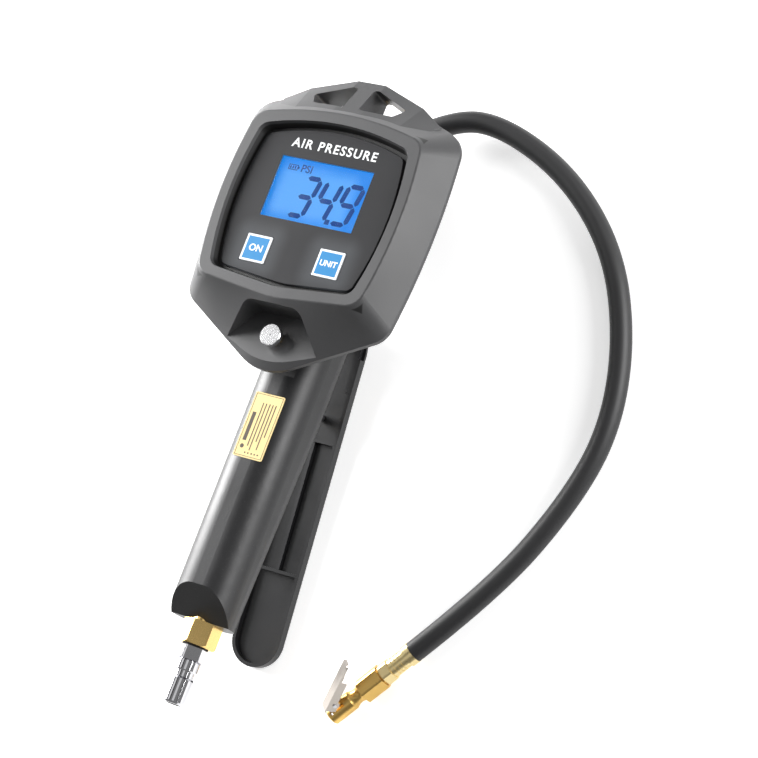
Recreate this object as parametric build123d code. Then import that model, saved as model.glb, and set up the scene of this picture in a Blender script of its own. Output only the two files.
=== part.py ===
"""Digital tyre inflator gauge: a moulded gauge head on a cast pistol handle with a squeeze
lever, a quick plug for the air line, and a rubber hose that ends in a brass clip-on chuck.

The gauge lies on its back.  Everything but the hose and the chuck is drawn in the face
frame and then settled on the ground by one placement:
    face frame   X right, Y towards the hanging loop, Z out of the display, origin in the
                 middle of the display, on the facia
    row frame    X right, Y along the ground towards the hanging loop, Z up, origin in the
                 middle of the gauge, on the ground
All sizes are in millimetres.
"""
import os
from math import atan2, cos, degrees, hypot, pi, radians, sin, tan

from build123d import *

os.makedirs("parts", exist_ok=True)

# ---------------------------------------------------------------- driving dimensions
# gauge head: five-cornered outlines of the front rim, the widest edge and the back
RIM_Z = 4.0
EDGE_Z = -13.0
SEAM_Z = -15.5
BACK_Z = -29.0
HEAD_HALF_WIDTH = 62.5
HEAD_TOP = 58.0
HEAD_CHIN = -94.0
RIM_HALF_WIDTH = 52.0
RIM_TOP = 41.7
RIM_CHIN = -57.6
OPENING_INSET = 5.4
OPENING_SLOPE = 1.5
SHELL_WALL = 2.6
COVER_WALL = 2.2
CAVITY_TOP = 44.0

# facia and display
FACIA_T = 1.6
FACIA_GAP = 1.7
LEDGE_T = 2.0
WINDOW_W = 53.2
WINDOW_H = 32.6
WINDOW_T = 1.3
LCD_MARGIN = 3.4
LCD_T = 2.6
BACKLIGHT_T = 2.0
KEY_W = 14.3
KEY_PITCH_HALF = 21.2
KEY_Y = -34.1
KEY_PROUD = 0.35
KEY_TRAVEL = 0.6
KEY_GAP = 0.25
KEY_STEM_R = 2.0
BOARD_T = 1.6
BOARD_Z = -10.0
BOARD_HALF_W = 35.0
BOARD_HALF_H = 43.0
DOME_TOP_Z = BOARD_Z + 1.8
SENSOR_Y = -30.0
SENSOR_NOZZLE_R = 2.4
SENSOR_TIP_Z = -38.0
SENSOR_RING_Z = -35.5

# hanging loop
LOOP_TOP = 66.3
LOOP_FLAT = 8.0
LOOP_BACK_Z = -24.0
LOOP_FRONT_Z = -11.0
LOOP_STRUT = 9.0
LOOP_WALL = 4.6
LOOP_HOLE_FLOOR = 47.0

# thumb scoop and bleed button
SCOOP_TOP = -60.0
SCOOP_TOP_HALF = 15.5
SCOOP_FOOT = -84.0
SCOOP_FOOT_HALF = 30.0
SCOOP_FLOOR_Z = -13.0
SCOOP_TILT = 10.0
SCOOP_WALL = 2.2
BLEED_Y = -73.0
BLEED_CAP_R = 5.65
BLEED_CAP_T = 2.6
BLEED_CAP_TOP_Z = -7.0
BLEED_STEM_R = 2.0
BLEED_BUSH_R = 3.6
BLEED_COLLAR = 0.5
BLEED_COLLAR_T = 1.5
BLEED_BUSH_LOW_Z = -36.0
BLEED_BUSH_TOP_Z = -12.0
BLEED_SPRING_POCKET = 5.0
BLEED_STEM_LOW_Z = -40.0

# handle casting
HANDLE_HALF_W = 17.0
HANDLE_FRONT_Z = -28.0
HANDLE_REAR_Z = -64.0
HANDLE_TOP_Y = 42.0
HANDLE_BOTTOM_Y = -212.0
HANDLE_ROUND = 14.0
HANDLE_REAR_ROUND = 12.0
HANDLE_TAPER_Y = -104.0
HANDLE_FOOT_REAR_Z = -58.5
HANDLE_END_SLOPE_Y = 15.0
HANDLE_END_SLOPE_Z = 14.0
AIR_AXIS_Z = -47.0
AIR_BORE_R = 3.0
LABEL_W = 17.0
LABEL_L = 34.0
LABEL_Y = -114.0
LABEL_T = 0.4
LABEL_RECESS = 0.6
SEAT_LOW_Y = -86.0
HANDLE_WALL = 3.2
CORE_HALF_W = 10.5
CORE_LOW_Y = -188.0
CORE_HIGH_Y = -104.0
CORE_ABOVE_AXIS = 9.0
UPPER_PASSAGE_Z = -57.5
UPPER_PASSAGE_R = 1.6
PORT_THREAD_L = 9.0
HANDLE_SCREW_GRIP = 8.0

# inlet: brass adapter and chrome quick plug
INLET_THREAD_R = 6.5
INLET_THREAD_L = 14.0
ADAPTER_HEX = 17.0
ADAPTER_L = 12.0
PLUG_THREAD_R = 5.0
PLUG_THREAD_L = 9.0
PLUG_WASHER_T = 1.0
PLUG_HEX = 14.0
PLUG_HEX_L = 6.5
PLUG_COLLAR_R = 6.5
PLUG_COLLAR_L = 5.8
PLUG_GROOVE_R = 5.4
PLUG_GROOVE_L = 3.0
PLUG_NOSE_R = 6.2
PLUG_NOSE_L = 14.6
PLUG_BORE_R = 3.8

# valve behind the lever
VALVE_Y = -90.0
VALVE_BORE_R = 6.0
VALVE_BORE_DEEP_Z = -42.0
VALVE_SEAT_Z = -53.0
VALVE_SEAT_T = 3.0
VALVE_SEAT_HOLE_R = 3.4
VALVE_STEM_R = 2.0
VALVE_RUNNING = 0.05
GLAND_HEX = 13.0
GLAND_PROUD = 4.0
POPPET_R = 4.6
POPPET_T = 1.6
POPPET_LIFT = 1.2

# lever
LEVER_SPLAY = 9.8
PIVOT_Y = -46.0
PIVOT_Z = -70.0
PIVOT_R = 2.0
PIVOT_RUNNING = 0.05
LEVER_LENGTH = 176.0
LEVER_HALF_W = 14.0
LEVER_PLATE_T = 2.4
LEVER_DEPTH = 7.0
LEVER_WALL = 1.9
LEVER_WALL_H = 5.6
LEVER_EAR_R = 5.0
LUG_HALF_W = 9.0
LUG_R = 4.1
LUG_GAP = 0.35

# hose
HOSE_R = 5.5
HOSE_BORE_R = 3.2
PORT_HEADING = 38.0
PORT_ELBOW_Y = 46.0
PORT_R = 5.2
PORT_FERRULE_R = 6.3
PORT_FERRULE_L = 6.6
PORT_REACH = 12.0
PORT_LEAD = 25.0

# chuck
CHUCK_FERRULE_R = 4.9
CHUCK_COLLAR_R = 5.65
CHUCK_COLLAR_L = 4.0
CHUCK_FERRULE_L = 14.0
CHUCK_NUT_HEX = 10.6
CHUCK_NUT_L = 6.0
CHUCK_HEX = 12.0
CHUCK_HEX_L = 13.0
CHUCK_WAIST_R = 3.9
CHUCK_WAIST_L = 7.0
CHUCK_TIP_R = 4.95
CHUCK_TIP_L = 14.0
CHUCK_MOUTH_R = 3.95
CHUCK_MOUTH_DEPTH = 10.0
CHUCK_SEAL_T = 2.0
CHUCK_SEAL_R = 4.3
CHUCK_SEAL_BACK = 0.2
CHUCK_ROLL = 30.0
CLIP_ANGLE = 27.0
CLIP_LENGTH = 31.0
CLIP_HALF_W = 3.4
CLIP_T = 0.9
CLIP_PIN_R = 1.0
CLIP_RUNNING = 0.05

# small parts and clearances
FIT = 0.1
SCREW_R = 1.5
SCREW_HEAD_R = 2.7
SCREW_HEAD_T = 1.8
BOSS_R = 3.6
COVER_SCREW_SEAT_Z = -20.0
CELL_R = 5.25
CELL_L = 44.5
CELL_X = (-35.8, -24.6)
CELL_MID_Y = -4.0
CELL_Z = -20.6
DOOR_X = (-42.0, -18.6)
DOOR_Y = (-30.0, 23.0)
DOOR_SCREW_Y = 19.4

pieces = {}


# ---------------------------------------------------------------- helpers
def tube_z(radius, z_low, z_high, x=0.0, y=0.0):
    """An upright round bar between two heights."""
    bar = Cylinder(radius, z_high - z_low, align=(Align.CENTER, Align.CENTER, Align.MIN))
    return Pos(x, y, z_low) * bar


def tube_y(radius, y_low, y_high, x=0.0, z=0.0):
    """A round bar along Y between two places."""
    bar = Cylinder(radius, y_high - y_low, align=(Align.CENTER, Align.CENTER, Align.MIN))
    return Pos(x, y_low, z) * Rot(X=-90) * bar


def tube_x(radius, x_low, x_high, y=0.0, z=0.0):
    """A round bar along X between two places."""
    bar = Cylinder(radius, x_high - x_low, align=(Align.CENTER, Align.CENTER, Align.MIN))
    return Pos(x_low, y, z) * Rot(Y=90) * bar


def block(x_low, x_high, y_low, y_high, z_low, z_high):
    """A rectangular block between its faces."""
    body = Box(x_high - x_low, y_high - y_low, z_high - z_low, align=Align.MIN)
    return Pos(x_low, y_low, z_low) * body


def hex_y(across_flats, y_low, y_high, z=0.0):
    """A hexagon bar along Y, two flats facing up and down."""
    outline = RegularPolygon(across_flats / 2, 6, major_radius=False, rotation=30)
    bar = extrude(outline, y_high - y_low)
    return Pos(0, y_low, z) * Rot(X=-90) * bar


def head_outline(half_width, top, chin, shoulder, hip, round_top, round_hip, round_chin, inset=0.0):
    """A five-cornered outline: bowed top and sides, and two straight edges to the chin."""
    jaw = atan2(hip[1] - chin, hip[0])
    chin += inset / cos(jaw)
    hip = (hip[0] - inset, chin + (hip[0] - inset) * tan(jaw))
    shoulder = (shoulder[0] - inset, shoulder[1] - inset)
    top -= inset
    half_width -= inset
    left_shoulder = (-shoulder[0], shoulder[1])
    left_hip = (-hip[0], hip[1])
    waist_y = (shoulder[1] + hip[1]) / 2 + 3.0
    with BuildSketch() as sketch:
        with BuildLine():
            ThreePointArc(left_shoulder, (0, top), shoulder)
            ThreePointArc(shoulder, (half_width, waist_y), hip)
            Polyline(hip, (0, chin), left_hip)
            ThreePointArc(left_hip, (-half_width, waist_y), left_shoulder)
        make_face()
        corners = sketch.vertices()
        fillet([v for v in corners if v.Y > 0], round_top - inset / 2)
        corners = sketch.vertices()
        fillet([v for v in corners if abs(v.X) > 5 and abs(v.Y - hip[1]) < 0.1], round_hip - inset / 2)
        corners = sketch.vertices()
        fillet([v for v in corners if abs(v.X) < 0.1 and v.Y < hip[1]], round_chin - inset / 2)
    return sketch.sketch


def rim_outline(inset=0.0):
    """The outer edge of the front rim, or a line that runs inside it."""
    return head_outline(
        RIM_HALF_WIDTH, RIM_TOP, RIM_CHIN, (RIM_HALF_WIDTH - 3.8, RIM_TOP - 6.7),
        (RIM_HALF_WIDTH - 5.5, RIM_CHIN + 4.6), 9.0, 9.0, 60.0, inset,
    )


def edge_outline(inset=0.0):
    """The widest edge of the head."""
    return head_outline(
        HEAD_HALF_WIDTH, HEAD_TOP, HEAD_CHIN, (HEAD_HALF_WIDTH - 2.5, HEAD_TOP - 13.0),
        (HEAD_HALF_WIDTH - 4.5, HEAD_CHIN + 33.0), 14.0, 12.0, 29.0, inset,
    )


def cover_outline(inset=0.0):
    """The seam between the front shell and the back cover, below the hanging loop."""
    return head_outline(
        HEAD_HALF_WIDTH - 1.2, CAVITY_TOP, HEAD_CHIN + 2.0, (HEAD_HALF_WIDTH - 6.5, CAVITY_TOP - 6.0),
        (HEAD_HALF_WIDTH - 6.5, HEAD_CHIN + 34.0), 10.0, 11.0, 28.0, inset,
    )


def back_outline(inset=0.0):
    """The back of the cover, drawn in so that the sides slope."""
    return head_outline(
        HEAD_HALF_WIDTH - 13.0, CAVITY_TOP - 3.0, HEAD_CHIN + 12.0,
        (HEAD_HALF_WIDTH - 16.5, CAVITY_TOP - 8.0),
        (HEAD_HALF_WIDTH - 19.0, HEAD_CHIN + 37.0), 9.0, 10.0, 26.0, inset,
    )


def at_z(sketch, z):
    return Pos(0, 0, z) * sketch


def between(lower, z_low, upper, z_high):
    """A solid that runs from one outline to another."""
    return loft([at_z(lower, z_low), at_z(upper, z_high)])


def slab(sketch, z_low, z_high):
    """A flat plate of the given outline."""
    return extrude(at_z(sketch, z_low), z_high - z_low)


# ---------------------------------------------------------------- gauge head
LEDGE_Z = -FACIA_T
LEDGE_BACK_Z = LEDGE_Z - LEDGE_T
SCREW_POSTS = [(x, y) for x in (-42.0, 42.0) for y in (30.0, -48.0)]
HANDLE_SCREWS = [(0.0, 22.0), (0.0, -50.0)]


def scoop_outline(grow=0.0):
    """The arch of the thumb scoop, seen from the front."""
    with BuildSketch() as sketch:
        with BuildLine():
            Polyline(
                (-SCOOP_FOOT_HALF - grow, SCOOP_FOOT - 14), (-SCOOP_FOOT_HALF - grow, SCOOP_FOOT),
                (-SCOOP_TOP_HALF - grow, SCOOP_TOP + grow), (SCOOP_TOP_HALF + grow, SCOOP_TOP + grow),
                (SCOOP_FOOT_HALF + grow, SCOOP_FOOT), (SCOOP_FOOT_HALF + grow, SCOOP_FOOT - 14),
                close=True,
            )
        make_face()
        fillet([v for v in sketch.vertices() if v.Y > SCOOP_TOP - 1], 7.0 + grow)
    return sketch.sketch


def scoop_tool(grow, floor_drop):
    """The space of the scoop above its tilted floor."""
    column = slab(scoop_outline(grow), -40, 20)
    floor_block = Box(120, 80, 40, align=(Align.CENTER, Align.CENTER, Align.MAX))
    floor_block = Pos(0, BLEED_Y, SCOOP_FLOOR_Z - floor_drop) * Rot(X=-SCOOP_TILT) * floor_block
    return column - floor_block


def loop_hole(side):
    """One three-cornered hole of the hanging loop, with rounded corners."""
    inner_x = LOOP_STRUT / 2
    with BuildSketch() as sketch:
        with BuildLine():
            Polyline(
                (side * inner_x, LOOP_TOP - LOOP_WALL), (side * (inner_x + 3.0), LOOP_TOP - LOOP_WALL),
                (side * 27.0, LOOP_TOP - LOOP_WALL - 8.2), (side * 23.0, LOOP_HOLE_FLOOR + 0.5),
                (side * inner_x, LOOP_HOLE_FLOOR), close=True,
            )
        make_face()
        fillet(sketch.vertices(), 1.4)
    return slab(sketch.sketch, LOOP_BACK_Z - 5, RIM_Z + 5)


def loop_outline(foot_y, widths, heights):
    """The hanging loop's outline: a flat top, two sloping sides and a straight foot."""
    side = [(widths[0], foot_y), (widths[0], heights[0]), (widths[1], heights[1]), (widths[2], heights[2])]
    with BuildSketch() as sketch:
        with BuildLine():
            Polyline(*[(-x, y) for x, y in side], *reversed(side), close=True)
        make_face()
    return sketch.sketch


def make_loop():
    """The loop's block: a deep rim behind, and a front that slopes back from the head's rim."""
    widths = (46.0, 33.0, LOOP_FLAT)
    heights = (LOOP_TOP - 16.3, LOOP_TOP - 8.3, LOOP_TOP)
    rear = slab(loop_outline(CAVITY_TOP + 0.3, widths, heights), LOOP_BACK_Z, LOOP_FRONT_Z)
    front_low = at_z(loop_outline(RIM_TOP - 12.0, widths, heights), LOOP_FRONT_Z)
    near_rim = (RIM_TOP - 6.4, RIM_TOP - 3.2, RIM_TOP - 0.6)
    front_high = at_z(loop_outline(RIM_TOP - 12.0, (40.0, 30.0, LOOP_FLAT), near_rim), RIM_Z - 1.0)
    return rear + loft([front_low, front_high], ruled=True)


def make_head_shell():
    outer = between(edge_outline(), EDGE_Z, rim_outline(), RIM_Z)
    outer = fillet([e for e in outer.edges() if e.center().Z > RIM_Z - 0.01], 1.2)
    outer += slab(edge_outline(), SEAM_Z, EDGE_Z)
    outer += make_loop()
    cavity = between(cover_outline(SHELL_WALL), SEAM_Z, rim_outline(SHELL_WALL + 2.0), RIM_Z)
    cavity = cavity & block(-100, 100, -120, 100, SEAM_Z - 1, LEDGE_BACK_Z)
    pocket = scoop_tool(SCOOP_WALL, SCOOP_WALL) & outer
    shell = outer - cavity + pocket - scoop_tool(0.0, 0.0)
    for side in (-1, 1):
        shell -= loop_hole(side)
    mouth = rim_outline(OPENING_INSET)
    throat = rim_outline(OPENING_INSET + OPENING_SLOPE)
    shell -= between(throat, LEDGE_Z + 0.8, mouth, RIM_Z)
    shell -= slab(throat, LEDGE_Z, LEDGE_Z + 0.8)
    shell -= slab(mouth, RIM_Z, RIM_Z + 2)
    for x, y in SCREW_POSTS:
        shell += tube_z(BOSS_R, SEAM_Z, LEDGE_BACK_Z + 0.5, x, y)
    lcd_w = WINDOW_W + 2 * LCD_MARGIN + 2 * FIT
    lcd_h = WINDOW_H + 2 * LCD_MARGIN + 2 * FIT
    shell -= block(-lcd_w / 2, lcd_w / 2, -lcd_h / 2, lcd_h / 2, LEDGE_BACK_Z - 1, LEDGE_Z + 0.1)
    for side in (-1, 1):
        shell -= tube_z(KEY_STEM_R + KEY_GAP, LEDGE_BACK_Z - 1, LEDGE_Z + 0.1, side * KEY_PITCH_HALF, KEY_Y)
    for x, y in SCREW_POSTS:
        shell -= tube_z(SCREW_R + FIT / 2, SEAM_Z - 1, LEDGE_BACK_Z - 1.0, x, y)
    shell -= tube_z(BLEED_BUSH_R + FIT, -30, 0, 0, BLEED_Y)
    return shell


def make_rear_cover():
    outer = between(back_outline(), BACK_Z, cover_outline(), SEAM_Z)
    inner = between(back_outline(COVER_WALL), BACK_Z, cover_outline(COVER_WALL), SEAM_Z)
    inner = inner & block(-100, 100, -120, 100, BACK_Z + COVER_WALL, SEAM_Z + 1)
    cover = outer - inner
    for x, y in SCREW_POSTS:
        cover += tube_z(BOSS_R, BACK_Z + 0.5, SEAM_Z, x, y)
    for x, y in SCREW_POSTS:
        cover -= tube_z(SCREW_R + 2 * FIT, BACK_Z - 1, SEAM_Z + 1, x, y)
        cover -= tube_z(SCREW_HEAD_R + 2 * FIT, BACK_Z - 1, COVER_SCREW_SEAT_Z, x, y)
    for x, y in HANDLE_SCREWS:
        cover -= tube_z(SCREW_R + 2 * FIT, BACK_Z - 1, BACK_Z + COVER_WALL + 1, x, y)
    cover -= tube_z(BLEED_BUSH_R + FIT, BACK_Z - 1, BACK_Z + COVER_WALL + 1, 0, BLEED_Y)
    collar_low = BACK_Z + COVER_WALL
    cover -= tube_z(
        BLEED_BUSH_R + BLEED_COLLAR + 2 * FIT, collar_low, collar_low + BLEED_COLLAR_T + 3 * FIT, 0, BLEED_Y)
    cover -= tube_z(SENSOR_NOZZLE_R + FIT, BACK_Z - 1, BACK_Z + COVER_WALL + 1, 0, SENSOR_Y)
    cover -= block(*door_box(FIT), BACK_Z - 1, BACK_Z + COVER_WALL + 1)
    return cover


def door_box(grow):
    """The battery door's outline, or the hole that takes it."""
    return (DOOR_X[0] - grow, DOOR_X[1] + grow, DOOR_Y[0] - grow, DOOR_Y[1] + grow)


def make_facia():
    plate = slab(rim_outline(OPENING_INSET + OPENING_SLOPE + FACIA_GAP), LEDGE_Z, 0.0)
    plate = chamfer(plate.faces().sort_by(Axis.Z)[-1].outer_wire().edges(), 0.35)
    plate -= block(-WINDOW_W / 2 - FIT, WINDOW_W / 2 + FIT, -WINDOW_H / 2 - FIT, WINDOW_H / 2 + FIT, -5, 5)
    half = KEY_W / 2 + KEY_GAP
    for side in (-1, 1):
        x = side * KEY_PITCH_HALF
        plate -= block(x - half, x + half, KEY_Y - half, KEY_Y + half, -5, 5)
    return plate


def make_key(side):
    x = side * KEY_PITCH_HALF
    half = KEY_W / 2
    underside = LEDGE_Z + KEY_TRAVEL + FIT
    cap = block(x - half, x + half, KEY_Y - half, KEY_Y + half, underside, KEY_PROUD)
    cap = fillet([e for e in cap.edges() if abs(e.center().Z - (underside + KEY_PROUD) / 2) < 0.01], 0.5)
    cap = chamfer(cap.faces().sort_by(Axis.Z)[-1].edges(), 0.15)
    return cap + tube_z(KEY_STEM_R, DOME_TOP_Z + KEY_TRAVEL + 2 * FIT, underside + 0.1, x, KEY_Y)


def make_board():
    board = block(-BOARD_HALF_W, BOARD_HALF_W, -BOARD_HALF_H - 2, BOARD_HALF_H - 7, BOARD_Z - BOARD_T, BOARD_Z)
    return fillet(board.edges().filter_by(Axis.Z), 3.0)


def make_domes():
    group = []
    for side in (-1, 1):
        x = side * KEY_PITCH_HALF
        base = block(x - 3, x + 3, KEY_Y - 3, KEY_Y + 3, BOARD_Z, BOARD_Z + 1.2)
        group.append(base + tube_z(1.6, BOARD_Z + 1.2, DOME_TOP_Z, x, KEY_Y))
    return Compound(children=group)


def make_sensor():
    under = BOARD_Z - BOARD_T
    body = block(-6, 6, SENSOR_Y - 6, SENSOR_Y + 6, under - 4.5, under)
    nozzle = tube_z(SENSOR_NOZZLE_R, SENSOR_TIP_Z, under - 4.4, 0, SENSOR_Y)
    groove = tube_z(SENSOR_NOZZLE_R + 1, SENSOR_RING_Z, SENSOR_RING_Z + 1.4, 0, SENSOR_Y)
    groove -= tube_z(SENSOR_NOZZLE_R - 0.7, SENSOR_RING_Z, SENSOR_RING_Z + 1.4, 0, SENSOR_Y)
    return body + nozzle - groove - tube_z(0.8, SENSOR_TIP_Z - 1, under - 3.0, 0, SENSOR_Y)


def make_sensor_ring():
    ring = tube_z(SENSOR_NOZZLE_R + FIT, SENSOR_RING_Z + 0.1, SENSOR_RING_Z + 1.3, 0, SENSOR_Y)
    return ring - tube_z(SENSOR_NOZZLE_R - 0.7, SENSOR_RING_Z, SENSOR_RING_Z + 1.4, 0, SENSOR_Y)


def make_cells():
    group = []
    for turn, x in zip((1, -1), CELL_X):
        body = tube_y(CELL_R, CELL_MID_Y - CELL_L / 2, CELL_MID_Y + CELL_L / 2 - 1.0, 0, 0)
        button = tube_y(1.9, CELL_MID_Y + CELL_L / 2 - 1.0, CELL_MID_Y + CELL_L / 2)
        cell = body + button
        if turn < 0:
            cell = Pos(0, 2 * CELL_MID_Y, 0) * Rot(Z=180) * cell
        group.append(Pos(x, 0, CELL_Z) * cell)
    return Compound(children=group)


def make_contacts():
    group = []
    ends = (CELL_MID_Y - CELL_L / 2, CELL_MID_Y + CELL_L / 2)
    low_x = CELL_X[0] - 4.0
    high_x = CELL_X[1] + 4.0
    group.append(block(low_x, high_x, ends[0] - 1.0, ends[0], CELL_Z - 4, CELL_Z + 4))
    for x in CELL_X:
        group.append(block(x - 4, x + 4, ends[1], ends[1] + 1.0, CELL_Z - 4, CELL_Z + 4))
    return Compound(children=group)


def make_battery_door():
    door = block(*door_box(0.0), BACK_Z, BACK_Z + COVER_WALL)
    ribs = [block(DOOR_X[0] + 6, DOOR_X[1] - 6, y, y + 1.0, BACK_Z - 0.4, BACK_Z) for y in (-24, -21, -18)]
    for rib in ribs:
        door += rib
    screw_x = (DOOR_X[0] + DOOR_X[1]) / 2
    door -= tube_z(SCREW_R + FIT, BACK_Z - 1, BACK_Z + 3, screw_x, DOOR_SCREW_Y)
    door -= tube_z(SCREW_HEAD_R + FIT, BACK_Z - 1, BACK_Z + 1.0, screw_x, DOOR_SCREW_Y)
    return door


def screw_up(x, y, seat_z, length, head_r=SCREW_HEAD_R, head_t=SCREW_HEAD_T):
    """A cross-head screw that points along +Z from the seat of its head."""
    screw = tube_z(SCREW_R, seat_z, seat_z + length, x, y) + tube_z(head_r, seat_z - head_t, seat_z, x, y)
    for turn in (0, 90):
        slot = Box(3.0, 0.6, 1.6)
        screw -= Pos(x, y, seat_z - head_t) * Rot(Z=turn) * slot
    return screw


# ---------------------------------------------------------------- bleed valve
def make_bleed_bush():
    bush = tube_z(BLEED_BUSH_R, BLEED_BUSH_LOW_Z, BLEED_BUSH_TOP_Z, 0, BLEED_Y)
    collar_low = BACK_Z + COVER_WALL + FIT
    collar = tube_z(BLEED_BUSH_R + BLEED_COLLAR, collar_low, collar_low + BLEED_COLLAR_T, 0, BLEED_Y)
    bush += collar
    bush -= tube_z(BLEED_STEM_R + VALVE_RUNNING, -60, 0, 0, BLEED_Y)
    pocket = tube_z(BLEED_STEM_R + 0.8, BLEED_BUSH_TOP_Z - BLEED_SPRING_POCKET, 0, 0, BLEED_Y)
    return bush - pocket


def make_bleed_button():
    cap = tube_z(BLEED_CAP_R, BLEED_CAP_TOP_Z - BLEED_CAP_T, BLEED_CAP_TOP_Z, 0, BLEED_Y)
    cap = chamfer(cap.edges().sort_by(Axis.Z)[-1], 0.4)
    cap -= tube_z(0.45, BLEED_CAP_TOP_Z - 0.8, BLEED_CAP_TOP_Z + 1, 0, BLEED_Y)
    stem = tube_z(BLEED_STEM_R, BLEED_STEM_LOW_Z, BLEED_CAP_TOP_Z - BLEED_CAP_T + 0.1, 0, BLEED_Y)
    stem -= tube_z(BLEED_STEM_R + 1, BLEED_STEM_LOW_Z + 1.2, BLEED_STEM_LOW_Z + 2.6, 0, BLEED_Y) - tube_z(
        BLEED_STEM_R - 0.8, BLEED_STEM_LOW_Z, BLEED_STEM_LOW_Z + 4, 0, BLEED_Y)
    return cap + stem


def make_bleed_ring():
    ring = tube_z(BLEED_STEM_R + 0.5, BLEED_STEM_LOW_Z + 1.3, BLEED_STEM_LOW_Z + 2.5, 0, BLEED_Y)
    return ring - tube_z(BLEED_STEM_R - 0.8, BLEED_STEM_LOW_Z, BLEED_STEM_LOW_Z + 4, 0, BLEED_Y)


def make_bleed_spring():
    low = BLEED_BUSH_TOP_Z - BLEED_SPRING_POCKET
    high = BLEED_CAP_TOP_Z - BLEED_CAP_T
    sleeve = tube_z(BLEED_STEM_R + 0.6, low, high, 0, BLEED_Y)
    return sleeve - tube_z(BLEED_STEM_R + 0.15, low - 1, high + 1, 0, BLEED_Y)


# ---------------------------------------------------------------- handle
def handle_section(y, rear_z):
    """The grip's outline across Y: well rounded in front, less so behind."""
    plane = Plane(origin=(0, y, (HANDLE_FRONT_Z + rear_z) / 2), x_dir=(1, 0, 0), z_dir=(0, -1, 0))
    with BuildSketch(plane) as section:
        Rectangle(2 * HANDLE_HALF_W, HANDLE_FRONT_Z - rear_z)
        fillet([v for v in section.vertices() if v.Z > AIR_AXIS_Z], HANDLE_ROUND)
        fillet([v for v in section.vertices() if v.Z < rear_z + 0.01], HANDLE_REAR_ROUND)
    return section.sketch


def make_handle():
    body = extrude(handle_section(HANDLE_TOP_Y, HANDLE_REAR_Z), HANDLE_TOP_Y - HANDLE_TAPER_Y)
    grip = [handle_section(HANDLE_TAPER_Y, HANDLE_REAR_Z), handle_section(HANDLE_BOTTOM_Y, HANDLE_FOOT_REAR_Z)]
    body += loft(grip, ruled=True)
    body = chamfer([e for e in body.edges() if e.center().Y > HANDLE_TOP_Y - 0.01], 1.5)
    seat = block(-40, 40, SEAT_LOW_Y, HANDLE_TOP_Y + 1, BACK_Z, HANDLE_FRONT_Z + 5)
    body -= seat
    slope = degrees(atan2(HANDLE_END_SLOPE_Z, HANDLE_END_SLOPE_Y))
    facet = Box(60, 80, 40, align=(Align.CENTER, Align.CENTER, Align.MIN))
    body -= Pos(0, HANDLE_BOTTOM_Y + HANDLE_END_SLOPE_Y, HANDLE_FRONT_Z) * Rot(X=slope) * facet
    lug = block(-LUG_HALF_W, LUG_HALF_W, PIVOT_Y - LUG_R, PIVOT_Y + LUG_R, PIVOT_Z, HANDLE_REAR_Z + 1)
    lug += tube_x(LUG_R, -LUG_HALF_W, LUG_HALF_W, PIVOT_Y, PIVOT_Z)
    body += lug
    body -= tube_x(PIVOT_R, -40, 40, PIVOT_Y, PIVOT_Z)
    recess = block(-LABEL_W / 2 - FIT, LABEL_W / 2 + FIT, LABEL_Y - LABEL_L / 2 - FIT,
                   LABEL_Y + LABEL_L / 2 + FIT, HANDLE_FRONT_Z - LABEL_RECESS, HANDLE_FRONT_Z + 5)
    body -= recess
    body -= tube_y(INLET_THREAD_R, HANDLE_BOTTOM_Y - 1, HANDLE_BOTTOM_Y + INLET_THREAD_L + 1, 0, AIR_AXIS_Z)
    body -= tube_y(AIR_BORE_R, HANDLE_BOTTOM_Y, VALVE_Y, 0, AIR_AXIS_Z)
    body -= tube_z(VALVE_BORE_R, HANDLE_REAR_Z - 1, VALVE_BORE_DEEP_Z, 0, VALVE_Y)
    body -= tube_y(UPPER_PASSAGE_R, VALVE_Y, BLEED_Y, 0, UPPER_PASSAGE_Z)
    body -= tube_z(2.6, UPPER_PASSAGE_Z - 2, BACK_Z + 1, 0, BLEED_Y)
    body -= tube_z(BLEED_BUSH_R, BLEED_BUSH_LOW_Z, BACK_Z + 1, 0, BLEED_Y)
    body -= tube_y(UPPER_PASSAGE_R, BLEED_Y + 1.0, HANDLE_TOP_Y + 1, 0, AIR_AXIS_Z)
    body -= tube_y(PORT_R, HANDLE_TOP_Y - PORT_THREAD_L, HANDLE_TOP_Y + 1, 0, AIR_AXIS_Z)
    body -= tube_z(SENSOR_NOZZLE_R + FIT, AIR_AXIS_Z, BACK_Z + 1, 0, SENSOR_Y)
    for x, y in HANDLE_SCREWS:
        body -= tube_z(SCREW_R, BACK_Z - HANDLE_SCREW_GRIP - 1, BACK_Z + 1, x, y)
    return body - make_handle_core()


def make_handle_core():
    """The cored-out space behind the grip, with the air tube left standing in it."""
    half = CORE_HALF_W
    core = block(-half, half, CORE_LOW_Y, CORE_HIGH_Y, HANDLE_REAR_Z - 1, AIR_AXIS_Z + CORE_ABOVE_AXIS)
    return core - tube_y(AIR_BORE_R + HANDLE_WALL, CORE_LOW_Y - 1, CORE_HIGH_Y + 1, 0, AIR_AXIS_Z)


def make_label():
    plate = block(-LABEL_W / 2, LABEL_W / 2, LABEL_Y - LABEL_L / 2, LABEL_Y + LABEL_L / 2,
                  HANDLE_FRONT_Z - LABEL_RECESS, HANDLE_FRONT_Z - LABEL_RECESS + LABEL_T)
    return fillet(plate.edges().filter_by(Axis.Z), 0.8)


def make_handle_screws():
    group = []
    for x, y in HANDLE_SCREWS:
        seat = BACK_Z + COVER_WALL
        screw = tube_z(SCREW_R, BACK_Z - HANDLE_SCREW_GRIP, seat, x, y)
        screw += tube_z(SCREW_HEAD_R, seat, seat + SCREW_HEAD_T, x, y)
        for turn in (0, 90):
            screw -= Pos(x, y, seat + SCREW_HEAD_T) * Rot(Z=turn) * Box(3.0, 0.6, 1.6)
        group.append(screw)
    return Compound(children=group)


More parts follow.
